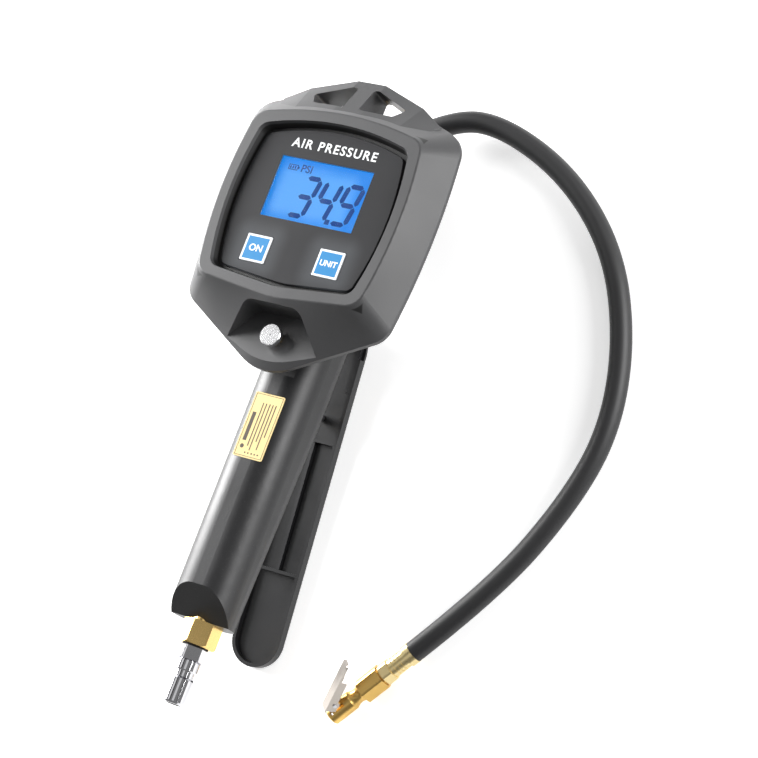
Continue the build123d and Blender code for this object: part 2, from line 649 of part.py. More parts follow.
# ---------------------------------------------------------------- inlet
ADAPTER_LOW_Y = HANDLE_BOTTOM_Y - ADAPTER_L
PLUG_TIP_Y = ADAPTER_LOW_Y - PLUG_HEX_L - PLUG_COLLAR_L - PLUG_GROOVE_L - PLUG_NOSE_L


def make_adapter():
    body = hex_y(ADAPTER_HEX, ADAPTER_LOW_Y, HANDLE_BOTTOM_Y, AIR_AXIS_Z)
    dome = Pos(0, ADAPTER_LOW_Y, AIR_AXIS_Z) * Rot(X=-90) * Cone(
        ADAPTER_HEX / 2 + 0.2, ADAPTER_HEX / 2 + 12.2, 12, align=(Align.CENTER, Align.CENTER, Align.MIN))
    body = body & dome
    body += tube_y(INLET_THREAD_R, HANDLE_BOTTOM_Y, HANDLE_BOTTOM_Y + INLET_THREAD_L, 0, AIR_AXIS_Z)
    body -= tube_y(PLUG_THREAD_R, ADAPTER_LOW_Y - 1, ADAPTER_LOW_Y + PLUG_THREAD_L, 0, AIR_AXIS_Z)
    return body - tube_y(AIR_BORE_R + 0.6, ADAPTER_LOW_Y, HANDLE_BOTTOM_Y + 30, 0, AIR_AXIS_Z)


def make_screen():
    low = HANDLE_BOTTOM_Y + INLET_THREAD_L
    disc = tube_y(INLET_THREAD_R - FIT, low, low + 0.8, 0, AIR_AXIS_Z)
    for ring_r, count in ((0.0, 1), (2.0, 6)):
        for step in range(count):
            turn = 2 * pi * step / count
            x = ring_r * cos(turn)
            z = AIR_AXIS_Z + ring_r * sin(turn)
            disc -= tube_y(0.55, low - 1, low + 2, x, z)
    return disc


def make_quick_plug():
    y = ADAPTER_LOW_Y - PLUG_WASHER_T
    axis = AIR_AXIS_Z
    body = tube_y(PLUG_THREAD_R, y, ADAPTER_LOW_Y + PLUG_THREAD_L - 1.0, 0, axis)
    body += hex_y(PLUG_HEX, y - PLUG_HEX_L, y, axis) & tube_y(PLUG_HEX / 2 + 0.8, y - PLUG_HEX_L, y, 0, axis)
    y -= PLUG_HEX_L
    collar = tube_y(PLUG_COLLAR_R, y - PLUG_COLLAR_L, y, 0, axis)
    body += chamfer(collar.edges().filter_by(GeomType.CIRCLE), 0.6)
    y -= PLUG_COLLAR_L
    body += tube_y(PLUG_GROOVE_R, y - PLUG_GROOVE_L, y, 0, axis)
    y -= PLUG_GROOVE_L
    nose = tube_y(PLUG_NOSE_R, y - PLUG_NOSE_L + PLUG_WASHER_T, y, 0, axis)
    body += chamfer(nose.edges().filter_by(GeomType.CIRCLE), 1.0)
    return body - tube_y(PLUG_BORE_R, PLUG_TIP_Y - 1, ADAPTER_LOW_Y + PLUG_THREAD_L, 0, axis)


def make_plug_washer():
    washer = tube_y(PLUG_THREAD_R + 1.6, ADAPTER_LOW_Y - PLUG_WASHER_T, ADAPTER_LOW_Y, 0, AIR_AXIS_Z)
    return washer - tube_y(PLUG_THREAD_R, ADAPTER_LOW_Y - 3, ADAPTER_LOW_Y + 1, 0, AIR_AXIS_Z)


# ---------------------------------------------------------------- main valve
STEM_TIP_Z = PIVOT_Z - (LEVER_DEPTH - LEVER_PLATE_T) * cos(radians(LEVER_SPLAY)) - tan(
    radians(LEVER_SPLAY)) * (PIVOT_Y - VALVE_Y)
POPPET_Z = VALVE_SEAT_Z + VALVE_SEAT_T + POPPET_LIFT


def make_valve_seat():
    ring = tube_z(VALVE_BORE_R, VALVE_SEAT_Z, VALVE_SEAT_Z + VALVE_SEAT_T, 0, VALVE_Y)
    return ring - tube_z(VALVE_SEAT_HOLE_R, VALVE_SEAT_Z - 1, VALVE_SEAT_Z + VALVE_SEAT_T + 1, 0, VALVE_Y)


def make_valve_stem():
    stem = tube_z(VALVE_STEM_R, STEM_TIP_Z + 0.55, POPPET_Z + POPPET_T, 0, VALVE_Y)
    stem = fillet(stem.edges().sort_by(Axis.Z)[0], 0.8)
    return stem + tube_z(POPPET_R, POPPET_Z, POPPET_Z + POPPET_T, 0, VALVE_Y)


def make_valve_disc():
    disc = tube_z(POPPET_R, POPPET_Z - 1.1, POPPET_Z, 0, VALVE_Y)
    return disc - tube_z(VALVE_STEM_R, POPPET_Z - 3, POPPET_Z + 1, 0, VALVE_Y)


def make_valve_spring():
    low = POPPET_Z + POPPET_T
    sleeve = tube_z(3.6, low, VALVE_BORE_DEEP_Z, 0, VALVE_Y)
    return sleeve - tube_z(2.9, low - 1, VALVE_BORE_DEEP_Z + 1, 0, VALVE_Y)


def make_gland():
    nut = extrude(RegularPolygon(GLAND_HEX / 2, 6, major_radius=False), GLAND_PROUD)
    nut = Pos(0, VALVE_Y, HANDLE_REAR_Z - GLAND_PROUD) * nut
    nut += tube_z(VALVE_BORE_R, HANDLE_REAR_Z, HANDLE_REAR_Z + 3.5, 0, VALVE_Y)
    nut -= tube_z(VALVE_STEM_R + VALVE_RUNNING, -90, -40, 0, VALVE_Y)
    return nut - tube_z(VALVE_STEM_R + 1.2, HANDLE_REAR_Z + 1.8, HANDLE_REAR_Z + 4, 0, VALVE_Y)


def make_gland_ring():
    ring = tube_z(VALVE_STEM_R + 1.2, HANDLE_REAR_Z + 1.8, HANDLE_REAR_Z + 3.4, 0, VALVE_Y)
    return ring - tube_z(VALVE_STEM_R + VALVE_RUNNING, -90, -40, 0, VALVE_Y)


# ---------------------------------------------------------------- lever
def lever_place(shape):
    """From the lever's own frame, pivot at the origin and tip along -Y, to the face frame."""
    return Pos(0, PIVOT_Y, PIVOT_Z) * Rot(X=LEVER_SPLAY) * shape


def lever_plan(half_width, tip_y):
    with BuildSketch() as plan:
        with BuildLine():
            Polyline((-half_width, tip_y + half_width), (-half_width, -8), (-half_width + 1.5, LEVER_EAR_R - 1),
                     (half_width - 1.5, LEVER_EAR_R - 1), (half_width, -8), (half_width, tip_y + half_width))
            ThreePointArc((half_width, tip_y + half_width), (0, tip_y), (-half_width, tip_y + half_width))
        make_face()
    return plan.sketch


def make_lever():
    low = -LEVER_DEPTH
    plate = slab(lever_plan(LEVER_HALF_W, -LEVER_LENGTH), low, low + LEVER_PLATE_T)
    wall = slab(lever_plan(LEVER_HALF_W, -LEVER_LENGTH), low, low + LEVER_WALL_H)
    wall -= slab(lever_plan(LEVER_HALF_W - LEVER_WALL, -LEVER_LENGTH + LEVER_WALL), low + 1, low + 20)
    wall -= block(-30, 30, -12, 30, low - 5, 20)
    lever = plate + wall
    lever = fillet([e for e in lever.edges() if e.center().Z < low + 0.01], 1.0)
    inner = LUG_HALF_W + LUG_GAP
    for side in (-1, 1):
        ear_low, ear_high = sorted((side * inner, side * (inner + 3.0)))
        ear = tube_x(LEVER_EAR_R, ear_low, ear_high)
        ear += block(ear_low, ear_high, -30, 4, low + LEVER_PLATE_T - 0.5, -2.2)
        ear += block(ear_low, ear_high, -LEVER_EAR_R, 4, -2.3, 0)
        lever += ear
    lever += block(-0.9, 0.9, -126, -56, low + 1, low + LEVER_WALL_H - 1.2)
    for y in (-57.0, -126.0):
        lever += block(-LEVER_HALF_W + 1, LEVER_HALF_W - 1, y - 0.8, y + 0.8, low + 1, low + LEVER_WALL_H - 0.6)
    lever -= tube_x(PIVOT_R + PIVOT_RUNNING, -40, 40)
    return lever_place(lever)


def make_lever_pin():
    end = LUG_HALF_W + LUG_GAP + 3.0 + 0.4
    pin = tube_x(PIVOT_R, -end - 1.6, end + 1.6, PIVOT_Y, PIVOT_Z)
    for side in (-1, 1):
        low, high = sorted((side * end, side * (end + 0.8)))
        pin -= tube_x(5, low, high, PIVOT_Y, PIVOT_Z) - tube_x(1.5, low, high, PIVOT_Y, PIVOT_Z)
    return pin


def make_pin_clips():
    group = []
    end = LUG_HALF_W + LUG_GAP + 3.0 + 0.4
    for side in (-1, 1):
        low, high = sorted((side * (end + 0.1), side * (end + 0.7)))
        clip = tube_x(3.6, low, high, PIVOT_Y, PIVOT_Z) - tube_x(1.5, low - 1, high + 1, PIVOT_Y, PIVOT_Z)
        clip -= block(low - 1, high + 1, PIVOT_Y - 1.1, PIVOT_Y + 1.1, PIVOT_Z, PIVOT_Z + 6)
        group.append(clip)
    return Compound(children=group)


# ---------------------------------------------------------------- hose port
PORT_AXIS = (cos(radians(PORT_HEADING)), sin(radians(PORT_HEADING)))


def along_port(shape):
    """A shape drawn along +Z from the elbow's corner, turned to the port's heading."""
    plane = Plane(origin=(0, PORT_ELBOW_Y, AIR_AXIS_Z), x_dir=(0, 0, 1), z_dir=(PORT_AXIS[0], PORT_AXIS[1], 0))
    return plane * shape


def make_elbow():
    elbow = tube_y(PORT_R, HANDLE_TOP_Y - PORT_THREAD_L + 1, PORT_ELBOW_Y, 0, AIR_AXIS_Z)
    elbow += Pos(0, PORT_ELBOW_Y, AIR_AXIS_Z) * Sphere(PORT_R)
    elbow += along_port(tube_z(PORT_R, 0, PORT_REACH - PORT_FERRULE_L))
    elbow += along_port(tube_z(HOSE_BORE_R, 0, PORT_REACH))
    elbow -= along_port(tube_z(1.8, 0, PORT_REACH + 1))
    return elbow - tube_y(1.8, 0, PORT_ELBOW_Y, 0, AIR_AXIS_Z)


def make_port_ferrule():
    sleeve = tube_z(PORT_FERRULE_R, PORT_REACH - PORT_FERRULE_L, PORT_REACH)
    for z in (PORT_REACH - 5.2, PORT_REACH - 2.8):
        sleeve -= tube_z(PORT_FERRULE_R + 1, z, z + 1.0) - tube_z(PORT_FERRULE_R - 0.4, z, z + 1.0)
    sleeve -= tube_z(HOSE_BORE_R, 0, PORT_REACH + 1)
    return along_port(sleeve)


# ---------------------------------------------------------------- resting place
HEEL = (HANDLE_TOP_Y - 1.5, HANDLE_REAR_Z)
LEVER_TIP = (
    PIVOT_Y - (LEVER_LENGTH - 2.0) * cos(radians(LEVER_SPLAY)) + LEVER_DEPTH * sin(radians(LEVER_SPLAY)),
    PIVOT_Z - (LEVER_LENGTH - 2.0) * sin(radians(LEVER_SPLAY)) - LEVER_DEPTH * cos(radians(LEVER_SPLAY)),
)
REST_TILT = degrees(atan2(HEEL[1] - LEVER_TIP[1], HEEL[0] - LEVER_TIP[0]))
REST_LIFT = HEEL[0] * sin(radians(REST_TILT)) - HEEL[1] * cos(radians(REST_TILT))
NOSE_END_Y = PLUG_TIP_Y * cos(radians(REST_TILT)) + (AIR_AXIS_Z - PLUG_NOSE_R + 1.0) * sin(radians(REST_TILT))
LOOP_END_Y = LOOP_TOP * cos(radians(REST_TILT)) + LOOP_FRONT_Z * sin(radians(REST_TILT))
REST_SHIFT_Y = -(NOSE_END_Y + LOOP_END_Y) / 2


def rest_point(x, y, z):
    """A place in the face frame, seen from the row frame."""
    tilt = radians(REST_TILT)
    return (x, y * cos(tilt) + z * sin(tilt) + REST_SHIFT_Y, z * cos(tilt) - y * sin(tilt) + REST_LIFT)


def rest_direction(x, y, z):
    """A direction in the face frame, seen from the row frame."""
    tilt = radians(REST_TILT)
    return (x, y * cos(tilt) + z * sin(tilt), z * cos(tilt) - y * sin(tilt))


def settle(shape):
    """From the face frame to the row frame."""
    return Pos(0, REST_SHIFT_Y, REST_LIFT) * Rot(X=-REST_TILT) * shape


# ---------------------------------------------------------------- hose and chuck
PORT_EXIT = rest_point(PORT_REACH * PORT_AXIS[0], PORT_ELBOW_Y + PORT_REACH * PORT_AXIS[1], AIR_AXIS_Z)
PORT_WAY = rest_direction(PORT_AXIS[0], PORT_AXIS[1], 0.0)
PORT_LEAD_END = tuple(a + PORT_LEAD * b for a, b in zip(PORT_EXIT, PORT_WAY))
CHUCK_START = (88.0, -104.3, 6.0)
HOSE_ROUTE = [
    PORT_EXIT,
    PORT_LEAD_END,
    (56.4, 160.5, 9.5),
    (98.5, 142.3, 6.0),
    (133.1, 109.1, 5.5),
    (151.6, 66.0, 5.5),
    (156.4, 22.9, 5.5),
    (145.5, -16.1, 5.5),
    (120.9, -63.7, 6.0),
    CHUCK_START,
]


def run_length(a, b):
    return hypot(b[0] - a[0], b[1] - a[1], b[2] - a[2])


def corner_radii(route):
    """The radius of each corner's arc: 0.45 of the shorter run over the tangent of half the turn."""
    radii = []
    for before, here, after in zip(route, route[1:], route[2:]):
        arriving = Vector(*here) - Vector(*before)
        leaving = Vector(*after) - Vector(*here)
        turn = radians(arriving.get_angle(leaving))
        radii.append(0.45 * min(arriving.length, leaving.length) / tan(turn / 2))
    return radii


def make_hose():
    radii = corner_radii(HOSE_ROUTE)
    path = FilletPolyline(*HOSE_ROUTE, radius=radii)
    section = Plane(origin=path @ 0, z_dir=path % 0) * Circle(HOSE_R)
    hose = sweep(section, path=path)
    print("hose radii", [round(r, 1) for r in radii], "length", round(path.length, 1))
    print("hose volume over section times length", round(hose.volume / (pi * HOSE_R**2 * path.length), 5))
    return hose


CHUCK_HEADING = degrees(atan2(CHUCK_START[1] - HOSE_ROUTE[-2][1], CHUCK_START[0] - HOSE_ROUTE[-2][0]))
CHUCK_AXIS_Z = CHUCK_HEX / 2


def lay_chuck(shape):
    """From the chuck's frame, +X to the mouth and +Z towards the clip, to the ground."""
    start = Pos(CHUCK_START[0], CHUCK_START[1], CHUCK_AXIS_Z)
    return start * Rot(Z=CHUCK_HEADING) * Rot(X=CHUCK_ROLL) * shape


def hex_x(across_flats, x_low, x_high):
    """A hexagon bar along X with flats square to Z."""
    outline = RegularPolygon(across_flats / 2, 6, major_radius=False, rotation=0)
    bar = extrude(outline, x_high - x_low)
    return Pos(x_low, 0, 0) * Rot(Y=90) * bar


NUT_X = CHUCK_FERRULE_L
HEX_X = NUT_X + CHUCK_NUT_L
WAIST_X = HEX_X + CHUCK_HEX_L
TIP_X = WAIST_X + CHUCK_WAIST_L
MOUTH_X = TIP_X + CHUCK_TIP_L
SEAL_X = MOUTH_X - CHUCK_MOUTH_DEPTH - CHUCK_SEAL_BACK - CHUCK_SEAL_T
CLIP_PIN_X = TIP_X + 7.0
CLIP_PIN_Z = CHUCK_TIP_R + 1.6


def make_chuck_ferrule():
    sleeve = tube_x(CHUCK_FERRULE_R, 0, CHUCK_FERRULE_L) + tube_x(CHUCK_COLLAR_R, 0, CHUCK_COLLAR_L)
    for x in (6.5, 8.6, 10.7):
        sleeve -= tube_x(CHUCK_FERRULE_R + 1, x, x + 0.8) - tube_x(CHUCK_FERRULE_R - 0.35, x, x + 0.8)
    return sleeve - tube_x(2.0, -1, CHUCK_FERRULE_L + 1)


def make_chuck_nut():
    nut = hex_x(CHUCK_NUT_HEX, NUT_X, HEX_X - 0.8) & tube_x(CHUCK_NUT_HEX / 2 + 0.5, NUT_X, HEX_X)
    nut += tube_x(CHUCK_NUT_HEX / 2 - 0.8, HEX_X - 0.9, HEX_X)
    return nut - tube_x(2.0, NUT_X - 1, HEX_X + 1)


def make_chuck_body():
    body = hex_x(CHUCK_HEX, HEX_X, WAIST_X) & tube_x(CHUCK_HEX / 2 + 0.6, HEX_X, WAIST_X)
    with BuildSketch(Plane.XZ) as profile:
        with BuildLine():
            shoulder_r = CHUCK_HEX / 2 - 0.8
            start = (WAIST_X - 0.5, 0)
            Polyline(start, (WAIST_X - 0.5, shoulder_r), (WAIST_X, shoulder_r))
            ThreePointArc((WAIST_X, shoulder_r), (WAIST_X + CHUCK_WAIST_L / 2, CHUCK_WAIST_R), (TIP_X, CHUCK_TIP_R))
            Polyline((TIP_X, CHUCK_TIP_R), (MOUTH_X - 0.6, CHUCK_TIP_R), (MOUTH_X, CHUCK_TIP_R - 0.6),
                     (MOUTH_X, 0), start)
        make_face()
    body += revolve(profile.sketch, Axis.X)
    for side in (-1, 1):
        ear_low, ear_high = sorted((side * 1.2, side * 2.1))
        ear = block(CLIP_PIN_X - 2.4, CLIP_PIN_X + 2.4, ear_low, ear_high, 3.0, CLIP_PIN_Z)
        body += ear + tube_y(2.4, ear_low, ear_high, CLIP_PIN_X, CLIP_PIN_Z)
        slot_low, slot_high = sorted((side * (CLIP_HALF_W - CLIP_T - 0.3), side * (CLIP_HALF_W + 0.4)))
        body -= block(CLIP_PIN_X - 3.2, CLIP_PIN_X + 5.0, slot_low, slot_high, 2.0, CLIP_PIN_Z + 3)
    body -= tube_y(CLIP_PIN_R, -6, 6, CLIP_PIN_X, CLIP_PIN_Z)
    body -= tube_x(CHUCK_MOUTH_R, SEAL_X, MOUTH_X + 1)
    body -= tube_x(CHUCK_SEAL_R, SEAL_X, SEAL_X + CHUCK_SEAL_T + CHUCK_SEAL_BACK)
    return body - tube_x(2.0, HEX_X - 1, MOUTH_X)


def make_chuck_seal():
    ring = tube_x(CHUCK_SEAL_R, SEAL_X, SEAL_X + CHUCK_SEAL_T)
    return ring - tube_x(1.7, SEAL_X - 1, SEAL_X + CHUCK_SEAL_T + 1)


def make_core_pin():
    pin = tube_x(0.9, SEAL_X - 5, SEAL_X + CHUCK_SEAL_T)
    return pin + tube_x(2.0, SEAL_X - 5, SEAL_X - 3.5) - tube_x(0.4, SEAL_X - 6, SEAL_X - 1)


def make_clip():
    outer = CLIP_HALF_W
    inner = outer - CLIP_T
    strip = block(-CLIP_LENGTH + 6, 5.0, -outer, outer, 2.6, 2.6 + CLIP_T)
    strip = fillet([e for e in strip.edges().filter_by(Axis.Z) if e.center().X < 0], 2.0)
    for side in (-1, 1):
        low, high = sorted((side * inner, side * outer))
        cheek = block(-14.0, 4.0, low, high, -0.8, 3.0)
        cheek += tube_y(2.3, low, high, 0, 0)
        hook = block(1.4, 3.6, low, high, -1.8, 0.5)
        strip += cheek + hook
    return strip


def make_clip_lever():
    clip = make_clip() - tube_y(CLIP_PIN_R + CLIP_RUNNING, -9, 9)
    return Pos(CLIP_PIN_X, 0, CLIP_PIN_Z) * Rot(Y=CLIP_ANGLE) * clip


def make_clip_pin():
    return tube_y(CLIP_PIN_R, -CLIP_HALF_W - 0.5, CLIP_HALF_W + 0.5, CLIP_PIN_X, CLIP_PIN_Z)


def make_clip_spring():
    coil = tube_y(1.38, -1.1, 1.1, CLIP_PIN_X, CLIP_PIN_Z)
    return coil - tube_y(CLIP_PIN_R + 0.02, -3, 3, CLIP_PIN_X, CLIP_PIN_Z)


# ---------------------------------------------------------------- assembly
def cover_screw_group():
    return Compound(children=[screw_up(x, y, COVER_SCREW_SEAT_Z, 13.0) for x, y in SCREW_POSTS])


def build():
    lcd_w = WINDOW_W / 2 + LCD_MARGIN
    lcd_h = WINDOW_H / 2 + LCD_MARGIN
    pieces["head_shell"] = make_head_shell()
    pieces["head_rear_cover"] = make_rear_cover()
    pieces["facia_panel"] = make_facia()
    pieces["display_window"] = block(-WINDOW_W / 2, WINDOW_W / 2, -WINDOW_H / 2, WINDOW_H / 2,
                                     LEDGE_Z + 0.1, LEDGE_Z + 0.1 + WINDOW_T)
    pieces["lcd_module"] = block(-lcd_w, lcd_w, -lcd_h, lcd_h, LEDGE_Z - LCD_T, LEDGE_Z)
    pieces["backlight_plate"] = block(-lcd_w, lcd_w, -lcd_h, lcd_h, LEDGE_Z - LCD_T - BACKLIGHT_T, LEDGE_Z - LCD_T)
    pieces["circuit_board"] = make_board()
    pieces["key_switches"] = make_domes()
    pieces["pressure_sensor"] = make_sensor()
    pieces["sensor_o_ring"] = make_sensor_ring()
    pieces["battery_cells"] = make_cells()
    pieces["battery_contacts"] = make_contacts()
    pieces["battery_door"] = make_battery_door()
    screw_x = (DOOR_X[0] + DOOR_X[1]) / 2
    pieces["battery_door_screw"] = screw_up(screw_x, DOOR_SCREW_Y, BACK_Z + 1.0, 4.0, SCREW_HEAD_R, 1.0)
    pieces["cover_screws"] = cover_screw_group()
    pieces["handle_screws"] = make_handle_screws()
    pieces["on_button"] = make_key(-1)
    pieces["unit_button"] = make_key(1)
    pieces["bleed_button"] = make_bleed_button()
    pieces["bleed_bush"] = make_bleed_bush()
    pieces["bleed_spring"] = make_bleed_spring()
    pieces["bleed_o_ring"] = make_bleed_ring()
    pieces["handle_body"] = make_handle()
    pieces["label_plate"] = make_label()
    pieces["inlet_adapter"] = make_adapter()
    pieces["inlet_screen"] = make_screen()
    pieces["quick_plug"] = make_quick_plug()
    pieces["plug_washer"] = make_plug_washer()
    pieces["valve_seat"] = make_valve_seat()
    pieces["valve_stem"] = make_valve_stem()
    pieces["valve_disc"] = make_valve_disc()
    pieces["valve_spring"] = make_valve_spring()
    pieces["valve_gland"] = make_gland()
    pieces["gland_o_ring"] = make_gland_ring()
    pieces["trigger_lever"] = make_lever()
    pieces["lever_pin"] = make_lever_pin()
    pieces["lever_pin_clips"] = make_pin_clips()
    pieces["port_elbow"] = make_elbow()
    pieces["port_ferrule"] = make_port_ferrule()
    for name in list(pieces):
        pieces[name] = settle(pieces[name])
    pieces["hose"] = make_hose()
    pieces["chuck_ferrule"] = lay_chuck(make_chuck_ferrule())
    pieces["chuck_nut"] = lay_chuck(make_chuck_nut())
    pieces["chuck_body"] = lay_chuck(make_chuck_body())
    pieces["chuck_seal"] = lay_chuck(make_chuck_seal())
    pieces["core_pin"] = lay_chuck(make_core_pin())
    pieces["clip_lever"] = lay_chuck(make_clip_lever())
    pieces["clip_pin"] = lay_chuck(make_clip_pin())
    pieces["clip_spring"] = lay_chuck(make_clip_spring())


build()
for node, solid in pieces.items():
    export_step(solid, f"parts/{node}.step")
print("rest tilt", round(REST_TILT, 3), "lift", round(REST_LIFT, 2), "nodes", len(pieces))
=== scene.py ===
"""Digital tyre inflator gauge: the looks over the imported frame.

Everything is in metres in the row frame of the CAD.  Pieces on the gauge are drawn in the
face frame (X right, Y towards the hanging loop, Z out of the display, origin in the middle
of the display on the facia) and then settled on the ground by one placement.  The spring of
the clip is drawn in the chuck's frame (X towards the mouth, Z towards the clip).
"""
from math import atan2, hypot, pi, radians, tan

import bpy
from mathutils import Matrix, Vector


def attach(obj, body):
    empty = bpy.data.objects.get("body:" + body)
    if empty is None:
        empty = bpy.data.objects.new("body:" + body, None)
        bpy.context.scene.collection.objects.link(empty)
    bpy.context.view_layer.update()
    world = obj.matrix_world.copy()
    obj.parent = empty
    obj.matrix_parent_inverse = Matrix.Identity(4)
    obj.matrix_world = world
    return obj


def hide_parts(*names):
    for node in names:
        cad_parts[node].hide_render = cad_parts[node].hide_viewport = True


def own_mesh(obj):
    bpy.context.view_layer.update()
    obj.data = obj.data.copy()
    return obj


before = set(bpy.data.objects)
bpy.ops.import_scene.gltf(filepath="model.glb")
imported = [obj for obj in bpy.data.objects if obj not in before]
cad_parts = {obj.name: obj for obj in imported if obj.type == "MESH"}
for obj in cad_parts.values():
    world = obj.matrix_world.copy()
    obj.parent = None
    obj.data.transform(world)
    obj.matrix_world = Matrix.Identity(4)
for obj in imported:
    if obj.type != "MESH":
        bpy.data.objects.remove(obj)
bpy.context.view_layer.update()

bl_info = {
    "name": "Tyre inflator gauge",
    "version": (1, 0, 0),
    "blender": (4, 5, 0),
    "location": "3D View > Sidebar > Gauge",
    "description": "Finishes, prints, springs, hose and studio of a tyre inflator gauge",
    "category": "Object",
}

# ---------------------------------------------------------------- placements
MM = 0.001
REST_TILT = 9.40139
FACE_TO_ROW = (
    Matrix.Translation((0.0, 97.7020 * MM, 69.7560 * MM))
    @ Matrix.Rotation(radians(-REST_TILT), 4, "X")
)
CHUCK_TO_ROW = (
    Matrix.Translation((88.0 * MM, -104.3 * MM, 6.0 * MM))
    @ Matrix.Rotation(radians(-129.0194), 4, "Z")
    @ Matrix.Rotation(radians(30.0), 4, "X")
)

# heights over the facia, in the face frame
FACIA_TOP = 0.0
LCD_TOP = -1.6 * MM
KEY_TOP = 0.35 * MM
LABEL_TOP = -28.2 * MM

# places in the face frame, in millimetres
KEY_X = 21.2
KEY_Y = -34.1
BLEED_Y = -73.0
VALVE_Y = -90.0
LABEL_Y = -114.0
FIGURES = (("3", -8.4), ("4", 4.0), ("9", 16.4))
FIGURE_FOOT_Y = -12.9
POINT_X = 10.6
SIGN_Y = 11.6

# the clip's pin in the chuck's frame, in millimetres
CLIP_PIN_X = 47.0
CLIP_PIN_Z = 6.55

BOLD = 0.00012
LAMP_AIM = (0.0, 0.0, 0.03)

HOSE_POINTS = [
    (0.009456, 0.142695, 0.014666),
    (0.029156, 0.157880, 0.012152),
    (0.0564, 0.1605, 0.0095),
    (0.0985, 0.1423, 0.0060),
    (0.1331, 0.1091, 0.0055),
    (0.1516, 0.0660, 0.0055),
    (0.1564, 0.0229, 0.0055),
    (0.1455, -0.0161, 0.0055),
    (0.1209, -0.0637, 0.0060),
    (0.0880, -0.1043, 0.0060),
]


# ---------------------------------------------------------------- modelling helpers
def fresh():
    if bpy.context.object and bpy.context.object.mode != "OBJECT":
        bpy.ops.object.mode_set(mode="OBJECT")
    bpy.ops.object.select_all(action="DESELECT")


def pick(obj):
    fresh()
    obj.select_set(True)
    bpy.context.view_layer.objects.active = obj


def bake(obj, name=None):
    """Moves the object's place into its mesh, so that it sits unturned at the origin."""
    pick(obj)
    bpy.ops.object.transform_apply(location=True, rotation=True, scale=True)
    if name:
        obj.name = name
        obj.data.name = name
    return obj


def plate(x, y, z_low, width, height, thickness):
    """A flat rectangular piece that stands on a height."""
    fresh()
    bpy.ops.mesh.primitive_cube_add(
        size=1.0, location=(x, y, z_low + thickness / 2), scale=(width, height, thickness)
    )
    return bake(bpy.context.object)


def disc(x, y, z_low, radius, thickness, sides=24):
    """A flat round piece that stands on a height."""
    fresh()
    bpy.ops.mesh.primitive_cylinder_add(
        vertices=sides, radius=radius, depth=thickness, location=(x, y, z_low + thickness / 2)
    )
    return bake(bpy.context.object)


def pointed_bar(start, end, z_low, width, thickness):
    """A flat bar between two places with both ends cut to a point."""
    length = hypot(end[0] - start[0], end[1] - start[1])
    middle = ((start[0] + end[0]) / 2, (start[1] + end[1]) / 2)
    bar = plate(0, 0, z_low, length, width, thickness)
    bpy.ops.object.mode_set(mode="EDIT")
    bpy.ops.mesh.select_mode(type="EDGE")
    bpy.ops.mesh.select_all(action="DESELECT")
    bpy.ops.object.mode_set(mode="OBJECT")
    corners = bar.data.vertices
    for edge in bar.data.edges:
        a, b = (corners[v].co for v in edge.vertices)
        edge.select = abs(a.z - b.z) > thickness / 2
    bpy.ops.object.mode_set(mode="EDIT")
    bpy.ops.mesh.bevel(offset=width * 0.47, offset_type="OFFSET", segments=1, affect="EDGES")
    bpy.ops.object.mode_set(mode="OBJECT")
    bar.rotation_euler = (0, 0, atan2(end[1] - start[1], end[0] - start[0]))
    bar.location = (middle[0], middle[1], 0)
    return bake(bar)


def frame_ring(x, y, z_low, width, height, border, thickness):
    """A flat rectangular outline made of four bars that meet end to side."""
    half_w = (width - border) / 2
    half_h = (height - border) / 2
    return [
        plate(x, y + half_h, z_low, width, border, thickness),
        plate(x, y - half_h, z_low, width, border, thickness),
        plate(x + half_w, y, z_low, border, height - 2 * border, thickness),
        plate(x - half_w, y, z_low, border, height - 2 * border, thickness),
    ]


def words(text, x, y, z_low, size, thickness, weight, spacing=1.0):
    """Raised lettering around a middle, as a closed mesh."""
    fresh()
    bpy.ops.object.text_add(location=(0, 0, 0))
    obj = bpy.context.object
    obj.data.body = text
    obj.data.size = size
    obj.data.extrude = thickness / 2
    obj.data.offset = weight
    obj.data.space_character = spacing
    obj.data.align_x = "CENTER"
    obj.data.align_y = "CENTER"
    obj.data.resolution_u = 4
    bpy.ops.object.convert(target="MESH")
    obj = bpy.context.object
    bpy.ops.object.mode_set(mode="EDIT")
    bpy.ops.mesh.select_all(action="SELECT")
    bpy.ops.mesh.remove_doubles(threshold=0.002 * MM)
    bpy.ops.mesh.normals_make_consistent(inside=False)
    bpy.ops.object.mode_set(mode="OBJECT")
    obj.location = (x, y, z_low + thickness / 2)
    return bake(obj)


def joined(parts, name, placement=FACE_TO_ROW):
    """One object from several, settled in the row frame."""
    fresh()
    for part in parts:
        part.select_set(True)
    bpy.context.view_layer.objects.active = parts[0]
    if len(parts) > 1:
        bpy.ops.object.join()
    obj = bpy.context.object
    obj.matrix_world = placement @ obj.matrix_world
    return bake(obj, name)


